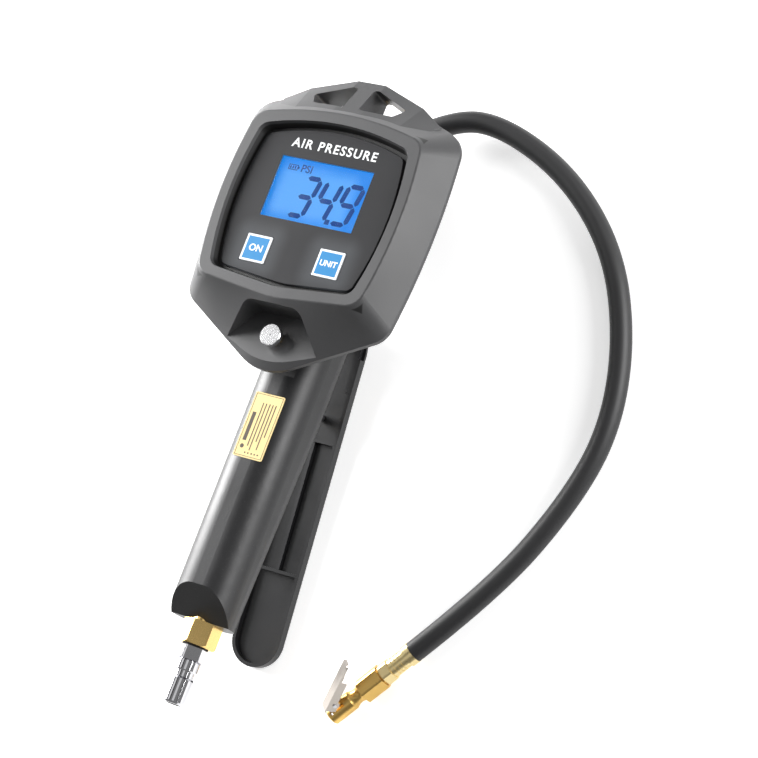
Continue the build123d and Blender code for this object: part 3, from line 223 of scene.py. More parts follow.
def wire_coil(radius, wire, low, high, turns):
    """A helical spring along Z with closed, filled ends."""
    fresh()
    bpy.ops.mesh.primitive_circle_add(
        vertices=10, radius=wire, fill_type="NOTHING",
        location=(radius, 0, low + wire), rotation=(pi / 2, 0, 0)
    )
    coil = bake(bpy.context.object)
    screw = coil.modifiers.new("Coil", "SCREW")
    screw.axis = "Z"
    screw.angle = 2 * pi
    screw.iterations = turns
    screw.screw_offset = (high - low - 2 * wire) / turns
    screw.steps = 24
    screw.render_steps = 24
    screw.use_merge_vertices = False
    bpy.ops.object.modifier_apply(modifier=screw.name)
    bpy.ops.object.mode_set(mode="EDIT")
    bpy.ops.mesh.select_all(action="SELECT")
    bpy.ops.mesh.fill_holes(sides=12)
    bpy.ops.mesh.select_all(action="SELECT")
    bpy.ops.mesh.normals_make_consistent(inside=False)
    bpy.ops.object.mode_set(mode="OBJECT")
    bpy.ops.object.shade_smooth_by_angle(angle=radians(50))
    return coil


# ---------------------------------------------------------------- finishes
def socket(tree, kind, name, io, default=None):
    item = tree.interface.new_socket(name=name, in_out=io, socket_type=kind)
    if default is not None:
        item.default_value = default
    return item


def grain_group():
    """Shared surface variation: a broad cloud, a fine grain, faint scratches, and their height."""
    name = "Surface grain"
    if name in bpy.data.node_groups:
        return bpy.data.node_groups[name]
    tree = bpy.data.node_groups.new(name, "ShaderNodeTree")
    socket(tree, "NodeSocketFloat", "Grain size", "INPUT", 900.0)
    socket(tree, "NodeSocketFloat", "Cloud size", "INPUT", 18.0)
    socket(tree, "NodeSocketFloat", "Scratches", "INPUT", 0.2)
    for out in ("Cloud", "Grain", "Wear", "Height"):
        socket(tree, "NodeSocketFloat", out, "OUTPUT")
    nodes, links = tree.nodes, tree.links
    given = nodes.new("NodeGroupInput")
    result = nodes.new("NodeGroupOutput")
    place = nodes.new("ShaderNodeTexCoord")
    cloud = nodes.new("ShaderNodeTexNoise")
    cloud.inputs["Detail"].default_value = 5.0
    cloud.inputs["Roughness"].default_value = 0.6
    links.new(place.outputs["Object"], cloud.inputs["Vector"])
    links.new(given.outputs["Cloud size"], cloud.inputs["Scale"])
    grain = nodes.new("ShaderNodeTexNoise")
    grain.inputs["Detail"].default_value = 3.0
    grain.inputs["Roughness"].default_value = 0.65
    links.new(place.outputs["Object"], grain.inputs["Vector"])
    links.new(given.outputs["Grain size"], grain.inputs["Scale"])
    stretch = nodes.new("ShaderNodeMapping")
    stretch.inputs["Rotation"].default_value = (0.3, 0.5, 0.7)
    stretch.inputs["Scale"].default_value = (40.0, 900.0, 500.0)
    links.new(place.outputs["Object"], stretch.inputs["Vector"])
    hair = nodes.new("ShaderNodeTexNoise")
    hair.inputs["Scale"].default_value = 1.0
    hair.inputs["Detail"].default_value = 2.0
    links.new(stretch.outputs["Vector"], hair.inputs["Vector"])
    thin = nodes.new("ShaderNodeMapRange")
    thin.inputs["From Min"].default_value = 0.64
    thin.inputs["From Max"].default_value = 0.72
    links.new(hair.outputs["Fac"], thin.inputs["Value"])
    scratch = nodes.new("ShaderNodeMath")
    scratch.operation = "MULTIPLY"
    links.new(thin.outputs["Result"], scratch.inputs[0])
    links.new(given.outputs["Scratches"], scratch.inputs[1])
    height = nodes.new("ShaderNodeMath")
    height.operation = "SUBTRACT"
    links.new(grain.outputs["Fac"], height.inputs[0])
    links.new(scratch.outputs["Value"], height.inputs[1])
    links.new(cloud.outputs["Fac"], result.inputs["Cloud"])
    links.new(grain.outputs["Fac"], result.inputs["Grain"])
    links.new(scratch.outputs["Value"], result.inputs["Wear"])
    links.new(height.outputs["Value"], result.inputs["Height"])
    return tree


def rounded_box_group():
    """A mask that is 1 inside a box laid in the face frame and fades to 0 outside it."""
    name = "Soft box"
    if name in bpy.data.node_groups:
        return bpy.data.node_groups[name]
    tree = bpy.data.node_groups.new(name, "ShaderNodeTree")
    socket(tree, "NodeSocketVector", "Centre", "INPUT")
    socket(tree, "NodeSocketVector", "Half size", "INPUT")
    socket(tree, "NodeSocketFloat", "Softness", "INPUT", 0.002)
    socket(tree, "NodeSocketFloat", "Mask", "OUTPUT")
    nodes, links = tree.nodes, tree.links
    given = nodes.new("NodeGroupInput")
    result = nodes.new("NodeGroupOutput")
    place = nodes.new("ShaderNodeTexCoord")
    away = nodes.new("ShaderNodeMapping")
    away.vector_type = "TEXTURE"
    away.inputs["Rotation"].default_value = (radians(-REST_TILT), 0.0, 0.0)
    links.new(place.outputs["Object"], away.inputs["Vector"])
    links.new(given.outputs["Centre"], away.inputs["Location"])
    plain = nodes.new("ShaderNodeVectorMath")
    plain.operation = "ABSOLUTE"
    links.new(away.outputs["Vector"], plain.inputs[0])
    over = nodes.new("ShaderNodeVectorMath")
    over.operation = "SUBTRACT"
    links.new(plain.outputs["Vector"], over.inputs[0])
    links.new(given.outputs["Half size"], over.inputs[1])
    only_out = nodes.new("ShaderNodeVectorMath")
    only_out.operation = "MAXIMUM"
    links.new(over.outputs["Vector"], only_out.inputs[0])
    far = nodes.new("ShaderNodeVectorMath")
    far.operation = "LENGTH"
    links.new(only_out.outputs["Vector"], far.inputs[0])
    fade = nodes.new("ShaderNodeMapRange")
    fade.interpolation_type = "SMOOTHSTEP"
    fade.inputs["To Min"].default_value = 1.0
    fade.inputs["To Max"].default_value = 0.0
    links.new(far.outputs["Value"], fade.inputs["Value"])
    links.new(given.outputs["Softness"], fade.inputs["From Max"])
    links.new(fade.outputs["Result"], result.inputs["Mask"])
    return tree


def finish(name, colour, tone=0.25, rough=(0.4, 0.5), metallic=0.0, grain=900.0, cloud=18.0,
           scratches=0.15, bump=0.15, depth=0.00003, coat=0.0, specks=0.0, speck_colour=(0.3, 0.3, 0.3)):
    """A material with clouded colour, uneven roughness and a fine raised grain."""
    if name in bpy.data.materials:
        return bpy.data.materials[name]
    mat = bpy.data.materials.new(name)
    mat.use_nodes = True
    nodes, links = mat.node_tree.nodes, mat.node_tree.links
    shader = nodes["Principled BSDF"]
    surface = nodes.new("ShaderNodeGroup")
    surface.node_tree = grain_group()
    surface.inputs["Grain size"].default_value = grain
    surface.inputs["Cloud size"].default_value = cloud
    surface.inputs["Scratches"].default_value = scratches
    mix = nodes.new("ShaderNodeMix")
    mix.data_type = "RGBA"
    dark = [c * (1.0 - tone) for c in colour]
    light = [min(1.0, c * (1.0 + tone)) for c in colour]
    mix.inputs[6].default_value = (*dark, 1.0)
    mix.inputs[7].default_value = (*light, 1.0)
    links.new(surface.outputs["Cloud"], mix.inputs[0])
    top = mix.outputs[2]
    if specks:
        spot = nodes.new("ShaderNodeMapRange")
        spot.inputs["From Min"].default_value = 0.60
        spot.inputs["From Max"].default_value = 0.70
        spot.inputs["To Max"].default_value = specks
        links.new(surface.outputs["Grain"], spot.inputs["Value"])
        speck = nodes.new("ShaderNodeMix")
        speck.data_type = "RGBA"
        speck.inputs[7].default_value = (*speck_colour, 1.0)
        links.new(spot.outputs["Result"], speck.inputs[0])
        links.new(top, speck.inputs[6])
        top = speck.outputs[2]
    links.new(top, shader.inputs["Base Color"])
    wear = nodes.new("ShaderNodeMapRange")
    wear.inputs["From Min"].default_value = 0.3
    wear.inputs["From Max"].default_value = 0.7
    wear.inputs["To Min"].default_value = rough[0]
    wear.inputs["To Max"].default_value = rough[1]
    links.new(surface.outputs["Cloud"], wear.inputs["Value"])
    links.new(wear.outputs["Result"], shader.inputs["Roughness"])
    shader.inputs["Metallic"].default_value = metallic
    shader.inputs["Coat Weight"].default_value = coat
    shader.inputs["Coat Roughness"].default_value = 0.12
    raised = nodes.new("ShaderNodeBump")
    raised.inputs["Strength"].default_value = bump
    raised.inputs["Distance"].default_value = depth
    links.new(surface.outputs["Height"], raised.inputs["Height"])
    links.new(raised.outputs["Normal"], shader.inputs["Normal"])
    return mat


def face_spot(x, y, z):
    """A place in the face frame, given in millimetres, seen from the row frame."""
    return (FACE_TO_ROW @ Matrix.Translation((x * MM, y * MM, z * MM))).to_translation()


def glowing(name, colour, middle, edge_colour, centre, half, soft, strength):
    """A lit panel that is brighter in the middle than at its edges."""
    mat = finish(name, colour, tone=0.05, rough=(0.3, 0.35), bump=0.02)
    nodes, links = mat.node_tree.nodes, mat.node_tree.links
    shader = nodes["Principled BSDF"]
    mask = nodes.new("ShaderNodeGroup")
    mask.node_tree = rounded_box_group()
    mask.inputs["Centre"].default_value = centre
    mask.inputs["Half size"].default_value = half
    mask.inputs["Softness"].default_value = soft
    light = nodes.new("ShaderNodeMix")
    light.data_type = "RGBA"
    light.inputs[6].default_value = (*edge_colour, 1.0)
    light.inputs[7].default_value = (*middle, 1.0)
    links.new(mask.outputs["Mask"], light.inputs[0])
    links.new(light.outputs[2], shader.inputs["Emission Color"])
    shader.inputs["Emission Strength"].default_value = strength
    return mat


def facia_finish():
    """Satin dark film with a faint painted pool of light round each key, drawn as emission."""
    mat = finish("Facia film", (0.019, 0.019, 0.021), tone=0.12, rough=(0.40, 0.46), grain=2200.0,
                 bump=0.06, scratches=0.05, coat=0.05)
    nodes, links = mat.node_tree.nodes, mat.node_tree.links
    shader = nodes["Principled BSDF"]
    shader.inputs["Specular IOR Level"].default_value = 0.22
    painted_key_light = None
    for side in (-1, 1):
        mask = nodes.new("ShaderNodeGroup")
        mask.node_tree = rounded_box_group()
        mask.inputs["Centre"].default_value = face_spot(side * KEY_X, KEY_Y, 0)
        mask.inputs["Half size"].default_value = (7 * MM, 7 * MM, 3 * MM)
        mask.inputs["Softness"].default_value = 11 * MM
        if painted_key_light is None:
            painted_key_light = mask.outputs["Mask"]
        else:
            both = nodes.new("ShaderNodeMath")
            both.operation = "MAXIMUM"
            links.new(painted_key_light, both.inputs[0])
            links.new(mask.outputs["Mask"], both.inputs[1])
            painted_key_light = both.outputs["Value"]
    # painted light: a faint grey emission masked round each key lightens the film there
    glow = nodes.new("ShaderNodeMix")
    glow.data_type = "RGBA"
    glow.inputs[6].default_value = (0.0, 0.0, 0.0, 1.0)
    glow.inputs[7].default_value = (0.05, 0.055, 0.06, 1.0)
    links.new(painted_key_light, glow.inputs[0])
    links.new(glow.outputs[2], shader.inputs["Emission Color"])
    shader.inputs["Emission Strength"].default_value = 1.0
    return mat


def head_finish():
    """Moulded plastic, with painted shade: the recess round the facia is coloured near-black where its gap
    lies in shadow.
    """
    mat = finish("Head plastic", (0.052, 0.052, 0.054), tone=0.12, rough=(0.40, 0.50), grain=1500.0,
                 bump=0.35)
    nodes, links = mat.node_tree.nodes, mat.node_tree.links
    shader = nodes["Principled BSDF"]
    # painted shade: a box mask turns the recess round the facia near-black, standing in for the shadow in
    # the gap
    painted_shade_gap = nodes.new("ShaderNodeGroup")
    painted_shade_gap.node_tree = rounded_box_group()
    painted_shade_gap.inputs["Centre"].default_value = face_spot(0, -8.0, -0.4)
    painted_shade_gap.inputs["Half size"].default_value = (48 * MM, 46 * MM, 2.2 * MM)
    painted_shade_gap.inputs["Softness"].default_value = 0.5 * MM
    dark = nodes.new("ShaderNodeMix")
    dark.data_type = "RGBA"
    dark.inputs[7].default_value = (0.004, 0.004, 0.004, 1.0)
    links.new(painted_shade_gap.outputs["Mask"], dark.inputs[0])
    links.new(shader.inputs["Base Color"].links[0].from_socket, dark.inputs[6])
    links.new(dark.outputs[2], shader.inputs["Base Color"])
    return mat


def turned_finish():
    """Chrome with fine turning rings round the bleed button's axis."""
    mat = finish("Turned chrome", (0.92, 0.92, 0.93), tone=0.04, rough=(0.24, 0.3), metallic=1.0,
                 grain=1500.0, bump=0.05)
    nodes, links = mat.node_tree.nodes, mat.node_tree.links
    shader = nodes["Principled BSDF"]
    place = nodes.new("ShaderNodeTexCoord")
    centre = nodes.new("ShaderNodeMapping")
    centre.vector_type = "TEXTURE"
    centre.inputs["Location"].default_value = face_spot(0, BLEED_Y, -7)
    centre.inputs["Rotation"].default_value = (radians(-REST_TILT), 0, 0)
    links.new(place.outputs["Object"], centre.inputs["Vector"])
    rings = nodes.new("ShaderNodeTexWave")
    rings.wave_type = "RINGS"
    rings.rings_direction = "Z"
    rings.inputs["Scale"].default_value = 320.0
    rings.inputs["Distortion"].default_value = 0.0
    links.new(centre.outputs["Vector"], rings.inputs["Vector"])
    raised = nodes.new("ShaderNodeBump")
    raised.inputs["Strength"].default_value = 0.15
    raised.inputs["Distance"].default_value = 0.00006
    links.new(rings.outputs["Fac"], raised.inputs["Height"])
    links.new(raised.outputs["Normal"], shader.inputs["Normal"])
    return mat


def window_finish():
    """Clear window with a faint blue tint and a slight smudge."""
    mat = bpy.data.materials.new("Display window")
    mat.use_nodes = True
    nodes, links = mat.node_tree.nodes, mat.node_tree.links
    shader = nodes["Principled BSDF"]
    surface = nodes.new("ShaderNodeGroup")
    surface.node_tree = grain_group()
    surface.inputs["Grain size"].default_value = 400.0
    tint = nodes.new("ShaderNodeMix")
    tint.data_type = "RGBA"
    tint.inputs[6].default_value = (0.93, 0.96, 1.0, 1.0)
    tint.inputs[7].default_value = (1.0, 1.0, 1.0, 1.0)
    links.new(surface.outputs["Cloud"], tint.inputs[0])
    links.new(tint.outputs[2], shader.inputs["Base Color"])
    smudge = nodes.new("ShaderNodeMapRange")
    smudge.inputs["To Min"].default_value = 0.01
    smudge.inputs["To Max"].default_value = 0.05
    links.new(surface.outputs["Cloud"], smudge.inputs["Value"])
    links.new(smudge.outputs["Result"], shader.inputs["Roughness"])
    shader.inputs["Transmission Weight"].default_value = 1.0
    shader.inputs["IOR"].default_value = 1.2
    return mat


def board_finish():
    """Green lacquer over copper tracks."""
    mat = finish("Board lacquer", (0.015, 0.12, 0.04), tone=0.2, rough=(0.25, 0.35), grain=700.0, coat=0.4)
    nodes, links = mat.node_tree.nodes, mat.node_tree.links
    shader = nodes["Principled BSDF"]
    place = nodes.new("ShaderNodeTexCoord")
    tracks = nodes.new("ShaderNodeTexBrick")
    tracks.inputs["Scale"].default_value = 160.0
    tracks.inputs["Color1"].default_value = (0.015, 0.12, 0.04, 1.0)
    tracks.inputs["Color2"].default_value = (0.02, 0.16, 0.06, 1.0)
    tracks.inputs["Mortar"].default_value = (0.05, 0.28, 0.10, 1.0)
    tracks.inputs["Mortar Size"].default_value = 0.06
    links.new(place.outputs["Object"], tracks.inputs["Vector"])
    links.new(tracks.outputs["Color"], shader.inputs["Base Color"])
    return mat


def all_finishes():
    """Every finish of the gauge, by its short name."""
    return {
        "head": head_finish(),
        "cover": finish("Cover plastic", (0.03, 0.03, 0.032), tone=0.12, rough=(0.42, 0.52),
                        grain=1500.0, bump=0.35),
        "facia": facia_finish(),
        "window": window_finish(),
        "lcd": glowing("Lit display", (0.01, 0.06, 0.2), (0.085, 0.34, 0.76), (0.004, 0.20, 0.66),
                       face_spot(-2, -1, -1.6), (17 * MM, 8 * MM, 3 * MM), 9 * MM, 1.0),
        "backlight": finish("White plastic", (0.75, 0.76, 0.78), tone=0.05, rough=(0.3, 0.45)),
        "board": board_finish(),
        "key": finish("Key white", (0.80, 0.82, 0.84), tone=0.04, rough=(0.3, 0.4), bump=0.05),
        "key_blue": finish("Key blue", (0.012, 0.20, 0.46), tone=0.08, rough=(0.32, 0.4), bump=0.05),
        "handle": finish("Cast handle enamel", (0.010, 0.010, 0.011), tone=0.25, rough=(0.36, 0.50),
                         grain=1100.0, bump=0.6, depth=0.00006, specks=0.25,
                         speck_colour=(0.06, 0.06, 0.062)),
        "lever": finish("Lever enamel", (0.008, 0.008, 0.009), tone=0.25, rough=(0.32, 0.44), grain=1300.0,
                        bump=0.35, depth=0.00004),
        "chrome": finish("Chrome", (0.66, 0.66, 0.68), tone=0.03, rough=(0.05, 0.10), metallic=1.0,
                         grain=1400.0, bump=0.04, scratches=0.4),
        "turned": turned_finish(),
        "brass": finish("Bright brass", (0.83, 0.58, 0.22), tone=0.12, rough=(0.16, 0.26), metallic=1.0,
                        grain=1000.0, bump=0.12, scratches=0.3),
        "chuck": finish("Chuck brass", (0.66, 0.43, 0.13), tone=0.2, rough=(0.2, 0.34), metallic=1.0,
                        grain=900.0, bump=0.2, scratches=0.35),
        "pale": finish("Pale brass", (0.86, 0.70, 0.36), tone=0.1, rough=(0.24, 0.36), metallic=1.0,
                       grain=1400.0, bump=0.2),
        "nickel": finish("Nickel steel", (0.46, 0.42, 0.38), tone=0.15, rough=(0.24, 0.38), metallic=1.0,
                         grain=1200.0, bump=0.15, scratches=0.4),
        "steel": finish("Plain steel", (0.55, 0.55, 0.57), tone=0.12, rough=(0.25, 0.38), metallic=1.0,
                        grain=1200.0, bump=0.15, scratches=0.35),
        "rubber": finish("Seal rubber", (0.012, 0.012, 0.012), tone=0.2, rough=(0.6, 0.75),
                         grain=800.0, bump=0.3),
        "hose": finish("Hose rubber", (0.016, 0.016, 0.017), tone=0.15, rough=(0.44, 0.54),
                       grain=1600.0, bump=0.4, depth=0.00004),
        "gold": finish("Gold foil", (0.80, 0.62, 0.30), tone=0.06, rough=(0.30, 0.38), metallic=0.4,
                       grain=1500.0, bump=0.08, scratches=0.1),
        "ink": finish("Dark ink", (0.05, 0.035, 0.02), tone=0.1, rough=(0.5, 0.6), bump=0.05),
        "digit": glowing("Display segments", (0.001, 0.01, 0.05), (0.0, 0.05, 0.27), (0.0, 0.05, 0.27),
                         face_spot(0, 0, -1.6), (20 * MM, 12 * MM, 3 * MM), 6 * MM, 0.8),
        "print": finish("White print", (0.85, 0.86, 0.87), tone=0.04, rough=(0.4, 0.5), bump=0.05),
        "cell": finish("Cell sleeve", (0.10, 0.10, 0.13), tone=0.1, rough=(0.25, 0.35), coat=0.3),
    }


NODE_FINISH = {
    "head_shell": "head", "head_rear_cover": "cover", "battery_door": "cover", "facia_panel": "facia",
    "display_window": "window", "lcd_module": "lcd", "backlight_plate": "backlight",
    "circuit_board": "board", "key_switches": "steel", "pressure_sensor": "backlight",
    "sensor_o_ring": "rubber", "battery_cells": "cell", "battery_contacts": "steel",
    "battery_door_screw": "steel", "cover_screws": "steel", "handle_screws": "steel",
    "on_button": "key", "unit_button": "key", "bleed_button": "turned", "bleed_bush": "brass",
    "bleed_o_ring": "rubber", "handle_body": "handle", "label_plate": "gold",
    "inlet_adapter": "brass", "inlet_screen": "steel", "quick_plug": "chrome",
    "plug_washer": "rubber", "valve_seat": "brass", "valve_stem": "steel", "valve_disc": "rubber",
    "valve_gland": "brass", "gland_o_ring": "rubber", "trigger_lever": "lever",
    "lever_pin": "steel", "lever_pin_clips": "steel", "port_elbow": "brass",
    "port_ferrule": "pale", "chuck_ferrule": "pale", "chuck_nut": "pale",
    "chuck_body": "chuck", "chuck_seal": "rubber", "core_pin": "brass", "clip_lever": "nickel",
    "clip_pin": "steel", "clip_spring": "steel", "bleed_spring": "steel", "valve_spring": "steel",
    "hose": "hose",
}

# every finish by its short name, filled once by main
PAINTS = {}


def paint(obj, key):
    """Gives a piece one finish in place of any it had."""
    obj.data.materials.clear()
    obj.data.materials.append(PAINTS[key])


# ---------------------------------------------------------------- settings
class CameraSettings(bpy.types.PropertyGroup):
    lens: bpy.props.FloatProperty(name="Lens", description="Focal length in millimetres", default=125.95)
    eye: bpy.props.FloatVectorProperty(
        name="Eye", description="Where the camera stands", size=3, subtype="XYZ", unit="LENGTH",
        default=(0.6785, -0.0794, 1.1685))


class HoseSettings(bpy.types.PropertyGroup):
    diameter: bpy.props.FloatProperty(
        name="Diameter", description="Outer diameter of the hose", default=0.011, unit="LENGTH")


class DisplaySettings(bpy.types.PropertyGroup):
    digit_height: bpy.props.FloatProperty(
        name="Digit height", description="Height of the figures", default=0.0205, unit="LENGTH")
    digit_width: bpy.props.FloatProperty(
        name="Digit width", description="Width of one figure", default=0.0083, unit="LENGTH")
    stroke: bpy.props.FloatProperty(
        name="Stroke", description="Width of one segment", default=0.0026, unit="LENGTH")
    slant: bpy.props.FloatProperty(
        name="Slant", description="Lean of the figures", default=radians(10), subtype="ANGLE")
    film: bpy.props.FloatProperty(
        name="Film", description="Thickness of the printed segments", default=0.00005, unit="LENGTH")


class PrintSettings(bpy.types.PropertyGroup):
    title_size: bpy.props.FloatProperty(
        name="Title size", description="Height of the words over the display", default=0.0068, unit="LENGTH")
    key_word_size: bpy.props.FloatProperty(
        name="Key word size", description="Height of the words on the keys", default=0.0050, unit="LENGTH")
    ink: bpy.props.FloatProperty(
        name="Ink", description="Thickness of the print", default=0.00004, unit="LENGTH")


class StudioSettings(bpy.types.PropertyGroup):
    key_power: bpy.props.FloatProperty(
        name="Key light", description="Power of the main light", default=36.0)
    fill_power: bpy.props.FloatProperty(
        name="Fill light", description="Power of the side light", default=16.0)
    top_power: bpy.props.FloatProperty(
        name="Top light", description="Power of the light above the head", default=2.5)
    glow: bpy.props.FloatProperty(
        name="Floor glow", description="Light of the paper itself", default=0.5)
    sky: bpy.props.FloatProperty(
        name="Sky", description="Strength of the even light all round", default=0.24)


# ---------------------------------------------------------------- operators
class GAUGE_OT_camera(bpy.types.Operator):
    """Stands the camera over the lever side, looking down on the display"""
    bl_idname = "gauge.camera"
    bl_label = "Place camera"

    def execute(self, context):
        settings = context.scene.gauge_camera
        fresh()
        bpy.ops.object.camera_add(location=settings.eye)
        eye = context.object
        eye.name = "Camera"
        right = (0.8484, 0.2765, -0.4515)
        down = (0.2062, -0.9581, -0.1991)
        ahead = (-0.4876, 0.0757, -0.8698)
        turn = Matrix((right, [-v for v in down], [-v for v in ahead])).transposed()
        eye.rotation_euler = turn.to_euler()
        eye.data.sensor_width = 36.0
        eye.data.lens = settings.lens
        eye.data.clip_start = 0.01
        eye.data.clip_end = 20.0
        context.scene.camera = eye
        return {"FINISHED"}


class GAUGE_OT_hose(bpy.types.Operator):
    """Lays the hose from the elbow behind the head round to the chuck"""
    bl_idname = "gauge.hose"
    bl_label = "Lay hose"

    def execute(self, context):
        settings = context.scene.gauge_hose
        curve = bpy.data.curves.new("hose_rubber", "CURVE")
        curve.dimensions = "3D"
        line = curve.splines.new("NURBS")
        line.points.add(len(HOSE_POINTS) - 1)
        for point, place in zip(line.points, HOSE_POINTS):
            point.co = (*place, 1.0)
        line.order_u = 3
        line.use_endpoint_u = True
        curve.resolution_u = 16
        curve.bevel_depth = settings.diameter / 2
        curve.bevel_resolution = 8
        curve.use_fill_caps = True
        hose = bpy.data.objects.new("hose_rubber", curve)
        context.scene.collection.objects.link(hose)
        paint(hose, "hose")
        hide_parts("hose")
        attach(hose, "gauge")
        return {"FINISHED"}


class GAUGE_OT_finishes(bpy.types.Operator):
    """Gives each part of the frame its finish"""
    bl_idname = "gauge.finishes"
    bl_label = "Finish the frame"

    def execute(self, context):
        for node, key in NODE_FINISH.items():
            paint(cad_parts[node], key)
        return {"FINISHED"}


# which bars are lit in each figure, and the ends of each bar: half widths across, heights up
LIT_BARS = {"3": "abgcd", "4": "fgbc", "9": "abcdfg"}
BAR_ENDS = {
    "a": ((-1, 1), (1, 1)), "g": ((-1, 0.5), (1, 0.5)), "d": ((-1, 0), (1, 0)),
    "f": ((-1, 0.5), (-1, 1)), "b": ((1, 0.5), (1, 1)), "c": ((1, 0), (1, 0.5)),
}
BAR_GAP = 0.45 * MM


class GAUGE_OT_display(bpy.types.Operator):
    """Draws the figures and signs of the display as thin segments"""
    bl_idname = "gauge.display"
    bl_label = "Draw display"

    def execute(self, context):
        settings = context.scene.gauge_display
        height, width, stroke = settings.digit_height, settings.digit_width, settings.stroke
        film = settings.film
        lean = tan(settings.slant)
        parts = []
        foot = FIGURE_FOOT_Y * MM
        for figure, middle in FIGURES:
            for letter in LIT_BARS[figure]:
                start, end = (
                    (middle * MM + u * width / 2 + v * height * lean, foot + v * height)
                    for u, v in BAR_ENDS[letter]
                )
                cut = BAR_GAP / hypot(end[0] - start[0], end[1] - start[1])
                near = [a + (b - a) * cut for a, b in zip(start, end)]
                far = [b - (b - a) * cut for a, b in zip(start, end)]
                parts.append(pointed_bar(near, far, LCD_TOP, stroke, film))
        parts.append(plate(POINT_X * MM, foot, LCD_TOP, stroke, stroke, film))
        digits = joined(parts, "display_digits")
        paint(digits, "digit")
        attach(digits, "gauge")
        row = SIGN_Y * MM
        signs = frame_ring(-19.2 * MM, row, LCD_TOP, 5.4 * MM, 3.0 * MM, 0.45 * MM, film)
        signs.append(plate(-16.1 * MM, row, LCD_TOP, 0.8 * MM, 1.4 * MM, film))
        for x in (-20.7, -19.3, -17.9):
            signs.append(plate(x * MM, row, LCD_TOP, 0.8 * MM, 1.5 * MM, film))
        signs.append(words("PSI", -11.2 * MM, row, LCD_TOP, 5.6 * MM, film, weight=0.0001))
        icons = joined(signs, "display_signs")
        paint(icons, "digit")
        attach(icons, "gauge")
        return {"FINISHED"}


class GAUGE_OT_title(bpy.types.Operator):
    """Prints the words over the display"""
    bl_idname = "gauge.title"
    bl_label = "Print title"

    def execute(self, context):
        settings = context.scene.gauge_print
        line = words("AIR PRESSURE", 0.6 * MM, 24.0 * MM, FACIA_TOP, settings.title_size, settings.ink,
                     weight=BOLD, spacing=1.2)
        title = joined([line], "facia_title")
        paint(title, "print")
        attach(title, "gauge")
        return {"FINISHED"}


class GAUGE_OT_keys(bpy.types.Operator):
    """Prints the blue faces and white words of the two keys"""
    bl_idname = "gauge.keys"
    bl_label = "Print keys"

    def execute(self, context):
        settings = context.scene.gauge_print
        for side, word, body in ((-1, "ON", "on_key"), (1, "UNIT", "unit_key")):
            x, y = side * KEY_X * MM, KEY_Y * MM
            face = joined([plate(x, y, KEY_TOP, 11.9 * MM, 11.9 * MM, settings.ink)], body + "_face")
            paint(face, "key_blue")
            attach(face, body)
            size = settings.key_word_size * (1.0 if word == "ON" else 0.84)
            text = words(word, x, y, KEY_TOP + settings.ink, size, settings.ink, weight=BOLD)
            letters = joined([text], body + "_word")
            paint(letters, "print")
            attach(letters, body)
        return {"FINISHED"}


class GAUGE_OT_label(bpy.types.Operator):
    """Prints plain bars and dots on the gold label, in place of its lines of words"""
    bl_idname = "gauge.label"
    bl_label = "Print label"

    def execute(self, context):
        ink = context.scene.gauge_print.ink
        middle = LABEL_Y * MM
        parts = frame_ring(0, middle, LABEL_TOP, 15.6 * MM, 32.6 * MM, 0.25 * MM, ink)
        parts.append(plate(-5.2 * MM, middle - 1.0 * MM, LABEL_TOP, 2.0 * MM, 15.0 * MM, ink))
        parts.append(disc(-5.2 * MM, middle - 11.5 * MM, LABEL_TOP, 1.1 * MM, ink))
        lines = ((-2.2, 23.0, 0.5), (-0.4, 25.0, -0.5), (1.6, 20.0, 2.0), (3.4, 24.0, 0.0), (5.2, 17.0, 3.5))
        for x, length, shift in lines:
            parts.append(plate(x * MM, middle + shift * MM, LABEL_TOP, 0.55 * MM, length * MM, ink))
            parts.append(disc(x * MM, middle - 14.4 * MM, LABEL_TOP, 0.45 * MM, ink, 12))
        marks = joined(parts, "label_print")
        paint(marks, "ink")
        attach(marks, "gauge")
        return {"FINISHED"}


class GAUGE_OT_springs(bpy.types.Operator):
    """Winds the springs of the bleed valve, the main valve and the clip"""
    bl_idname = "gauge.springs"
    bl_label = "Wind springs"

    def execute(self, context):
        bleed = wire_coil(2.37 * MM, 0.2 * MM, -17.0 * MM, -9.62 * MM, 7)
        bleed.location = (0, BLEED_Y * MM, 0)
        bleed = joined([bake(bleed)], "bleed_spring_wire")
        valve = wire_coil(3.25 * MM, 0.33 * MM, -46.8 * MM, -42.1 * MM, 4)
        valve.location = (0, VALVE_Y * MM, 0)
        valve = joined([bake(valve)], "valve_spring_wire")
        clip = wire_coil(1.2 * MM, 0.16 * MM, -1.1 * MM, 1.1 * MM, 6)
        clip.rotation_euler = (pi / 2, 0, 0)
        clip.location = (CLIP_PIN_X * MM, 0, CLIP_PIN_Z * MM)
        clip = joined([bake(clip)], "clip_spring_wire", CHUCK_TO_ROW)
        for coil, node in ((bleed, "bleed_spring"), (valve, "valve_spring"), (clip, "clip_spring")):
            paint(coil, "steel")
            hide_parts(node)
            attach(coil, "gauge")
        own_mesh(bleed)
        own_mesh(valve)
        return {"FINISHED"}


def card_finish(glow):
    """A dark board, or a lit one, that only the shiny metals show."""
    mat = finish("Card %.2f" % glow, (0.004, 0.004, 0.004), tone=0.1, rough=(0.9, 0.95), bump=0.0)
    board = mat.node_tree.nodes["Principled BSDF"]
    board.inputs["Emission Color"].default_value = (1.0, 1.0, 1.0, 1.0)
    board.inputs["Emission Strength"].default_value = glow
    return mat


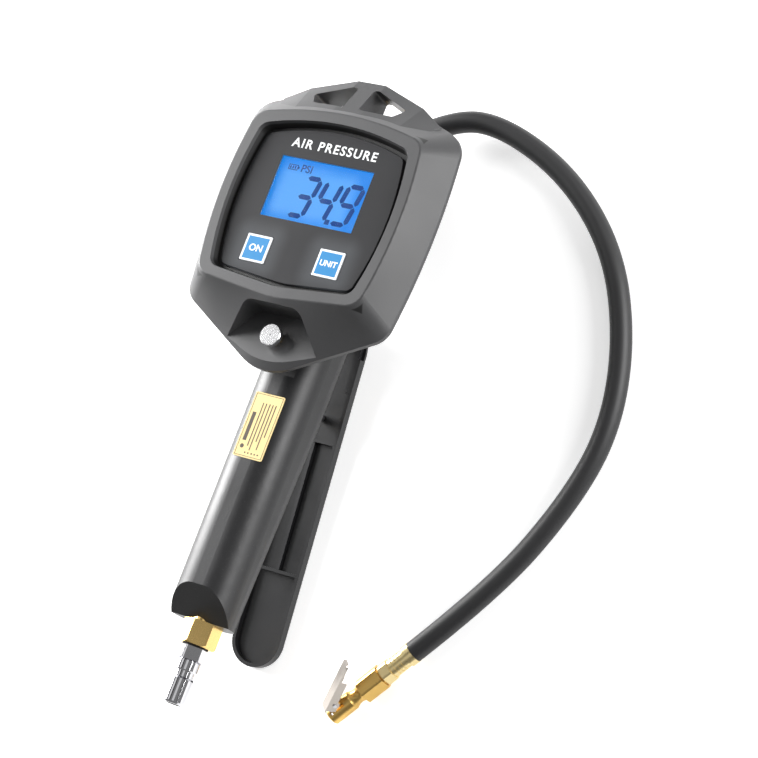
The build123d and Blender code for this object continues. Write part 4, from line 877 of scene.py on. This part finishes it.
class GAUGE_OT_studio(bpy.types.Operator):
    """Lays a pale floor under the gauge and lights it softly"""
    bl_idname = "gauge.studio"
    bl_label = "Set studio"

    def execute(self, context):
        settings = context.scene.gauge_studio
        fresh()
        bpy.ops.mesh.primitive_plane_add(size=16.0, location=(0, 0, -0.0003))
        floor = context.object
        floor.name = "studio_floor"
        mat = finish("Studio paper", (0.9, 0.9, 0.9), tone=0.01, rough=(0.8, 0.9), bump=0.0)
        paper = mat.node_tree.nodes["Principled BSDF"]
        paper.inputs["Emission Color"].default_value = (1.0, 1.0, 1.0, 1.0)
        paper.inputs["Emission Strength"].default_value = settings.glow
        floor.data.materials.append(mat)
        for name, place, size, power in (
            ("studio_key", (-0.95, 0.30, 0.38), 0.7, settings.key_power),
            ("studio_fill", (1.10, 0.45, 0.42), 0.7, settings.fill_power),
            ("studio_top", (0.25, 1.05, 0.80), 0.6, settings.top_power),
        ):
            bpy.ops.object.light_add(type="AREA", location=place)
            lamp = context.object
            lamp.name = name
            lamp.data.size = size
            lamp.data.specular_factor = 0.6
            lamp.data.energy = power
            gap = Vector(LAMP_AIM) - Vector(place)
            lamp.rotation_euler = gap.to_track_quat("-Z", "Y").to_euler()
        # each board: middle x, y, z, width, length, glow
        for x, y, z, width, length, glow in (
            (-0.47, -0.35, 0.45, 0.16, 0.8, 0.95),
            (-0.34, -0.35, 0.45, 0.09, 0.8, 0.0),
            (-0.21, -0.31, 0.45, 0.13, 0.88, 0.9),
            (-0.10, -0.35, 0.46, 0.07, 0.8, 0.0),
            (0.12, -0.35, 0.46, 0.14, 0.8, 0.7),
            (0.36, -0.10, 0.34, 0.06, 1.6, 0.0),
            (-0.28, 0.385, 0.45, 0.20, 0.5, 0.02),
        ):
            bpy.ops.mesh.primitive_plane_add(size=1.0, location=(x, y, z))
            context.object.scale = (width, length, 1.0)
            card = bake(context.object, "studio_card")
            card.visible_camera = False
            card.visible_diffuse = False
            card.visible_shadow = False
            card.visible_transmission = False
            card.data.materials.append(card_finish(glow))
        world = bpy.data.worlds.new("Studio sky")
        context.scene.world = world
        world.use_nodes = True
        sky = world.node_tree.nodes["Background"]
        sky.inputs["Color"].default_value = (1.0, 1.0, 1.0, 1.0)
        sky.inputs["Strength"].default_value = settings.sky
        context.scene.view_settings.view_transform = "Standard"
        return {"FINISHED"}


class GAUGE_PT_panel(bpy.types.Panel):
    """Sizes and steps of the gauge"""
    bl_label = "Gauge"
    bl_idname = "GAUGE_PT_panel"
    bl_space_type = "VIEW_3D"
    bl_region_type = "UI"
    bl_category = "Gauge"

    def draw(self, context):
        scene = context.scene
        for label, group, steps in PANEL_ROWS:
            box = self.layout.box()
            box.label(text=label)
            if group:
                settings = getattr(scene, group)
                for name in settings.__annotations__:
                    box.prop(settings, name)
            for step in steps:
                box.operator(step)


PANEL_ROWS = (
    ("Camera", "gauge_camera", ("gauge.camera",)),
    ("Hose", "gauge_hose", ("gauge.hose",)),
    ("Frame", None, ("gauge.finishes", "gauge.springs")),
    ("Display", "gauge_display", ("gauge.display",)),
    ("Print", "gauge_print", ("gauge.title", "gauge.keys", "gauge.label")),
    ("Studio", "gauge_studio", ("gauge.studio",)),
)

SETTINGS = {
    "gauge_camera": CameraSettings, "gauge_hose": HoseSettings, "gauge_display": DisplaySettings,
    "gauge_print": PrintSettings, "gauge_studio": StudioSettings,
}
CLASSES = (
    *SETTINGS.values(), GAUGE_OT_camera, GAUGE_OT_hose, GAUGE_OT_finishes, GAUGE_OT_display,
    GAUGE_OT_title, GAUGE_OT_keys, GAUGE_OT_label, GAUGE_OT_springs, GAUGE_OT_studio, GAUGE_PT_panel,
)


def register():
    for cls in CLASSES:
        bpy.utils.register_class(cls)
    for name, cls in SETTINGS.items():
        setattr(bpy.types.Scene, name, bpy.props.PointerProperty(type=cls))


def unregister():
    for name in SETTINGS:
        delattr(bpy.types.Scene, name)
    for cls in reversed(CLASSES):
        bpy.utils.unregister_class(cls)


def main():
    register()
    PAINTS.update(all_finishes())
    bpy.ops.gauge.camera()
    bpy.ops.gauge.hose()
    bpy.ops.gauge.finishes()
    bpy.ops.gauge.display()
    bpy.ops.gauge.title()
    bpy.ops.gauge.keys()
    bpy.ops.gauge.label()
    bpy.ops.gauge.springs()
    bpy.ops.gauge.studio()


if __name__ == "__main__":
    main()
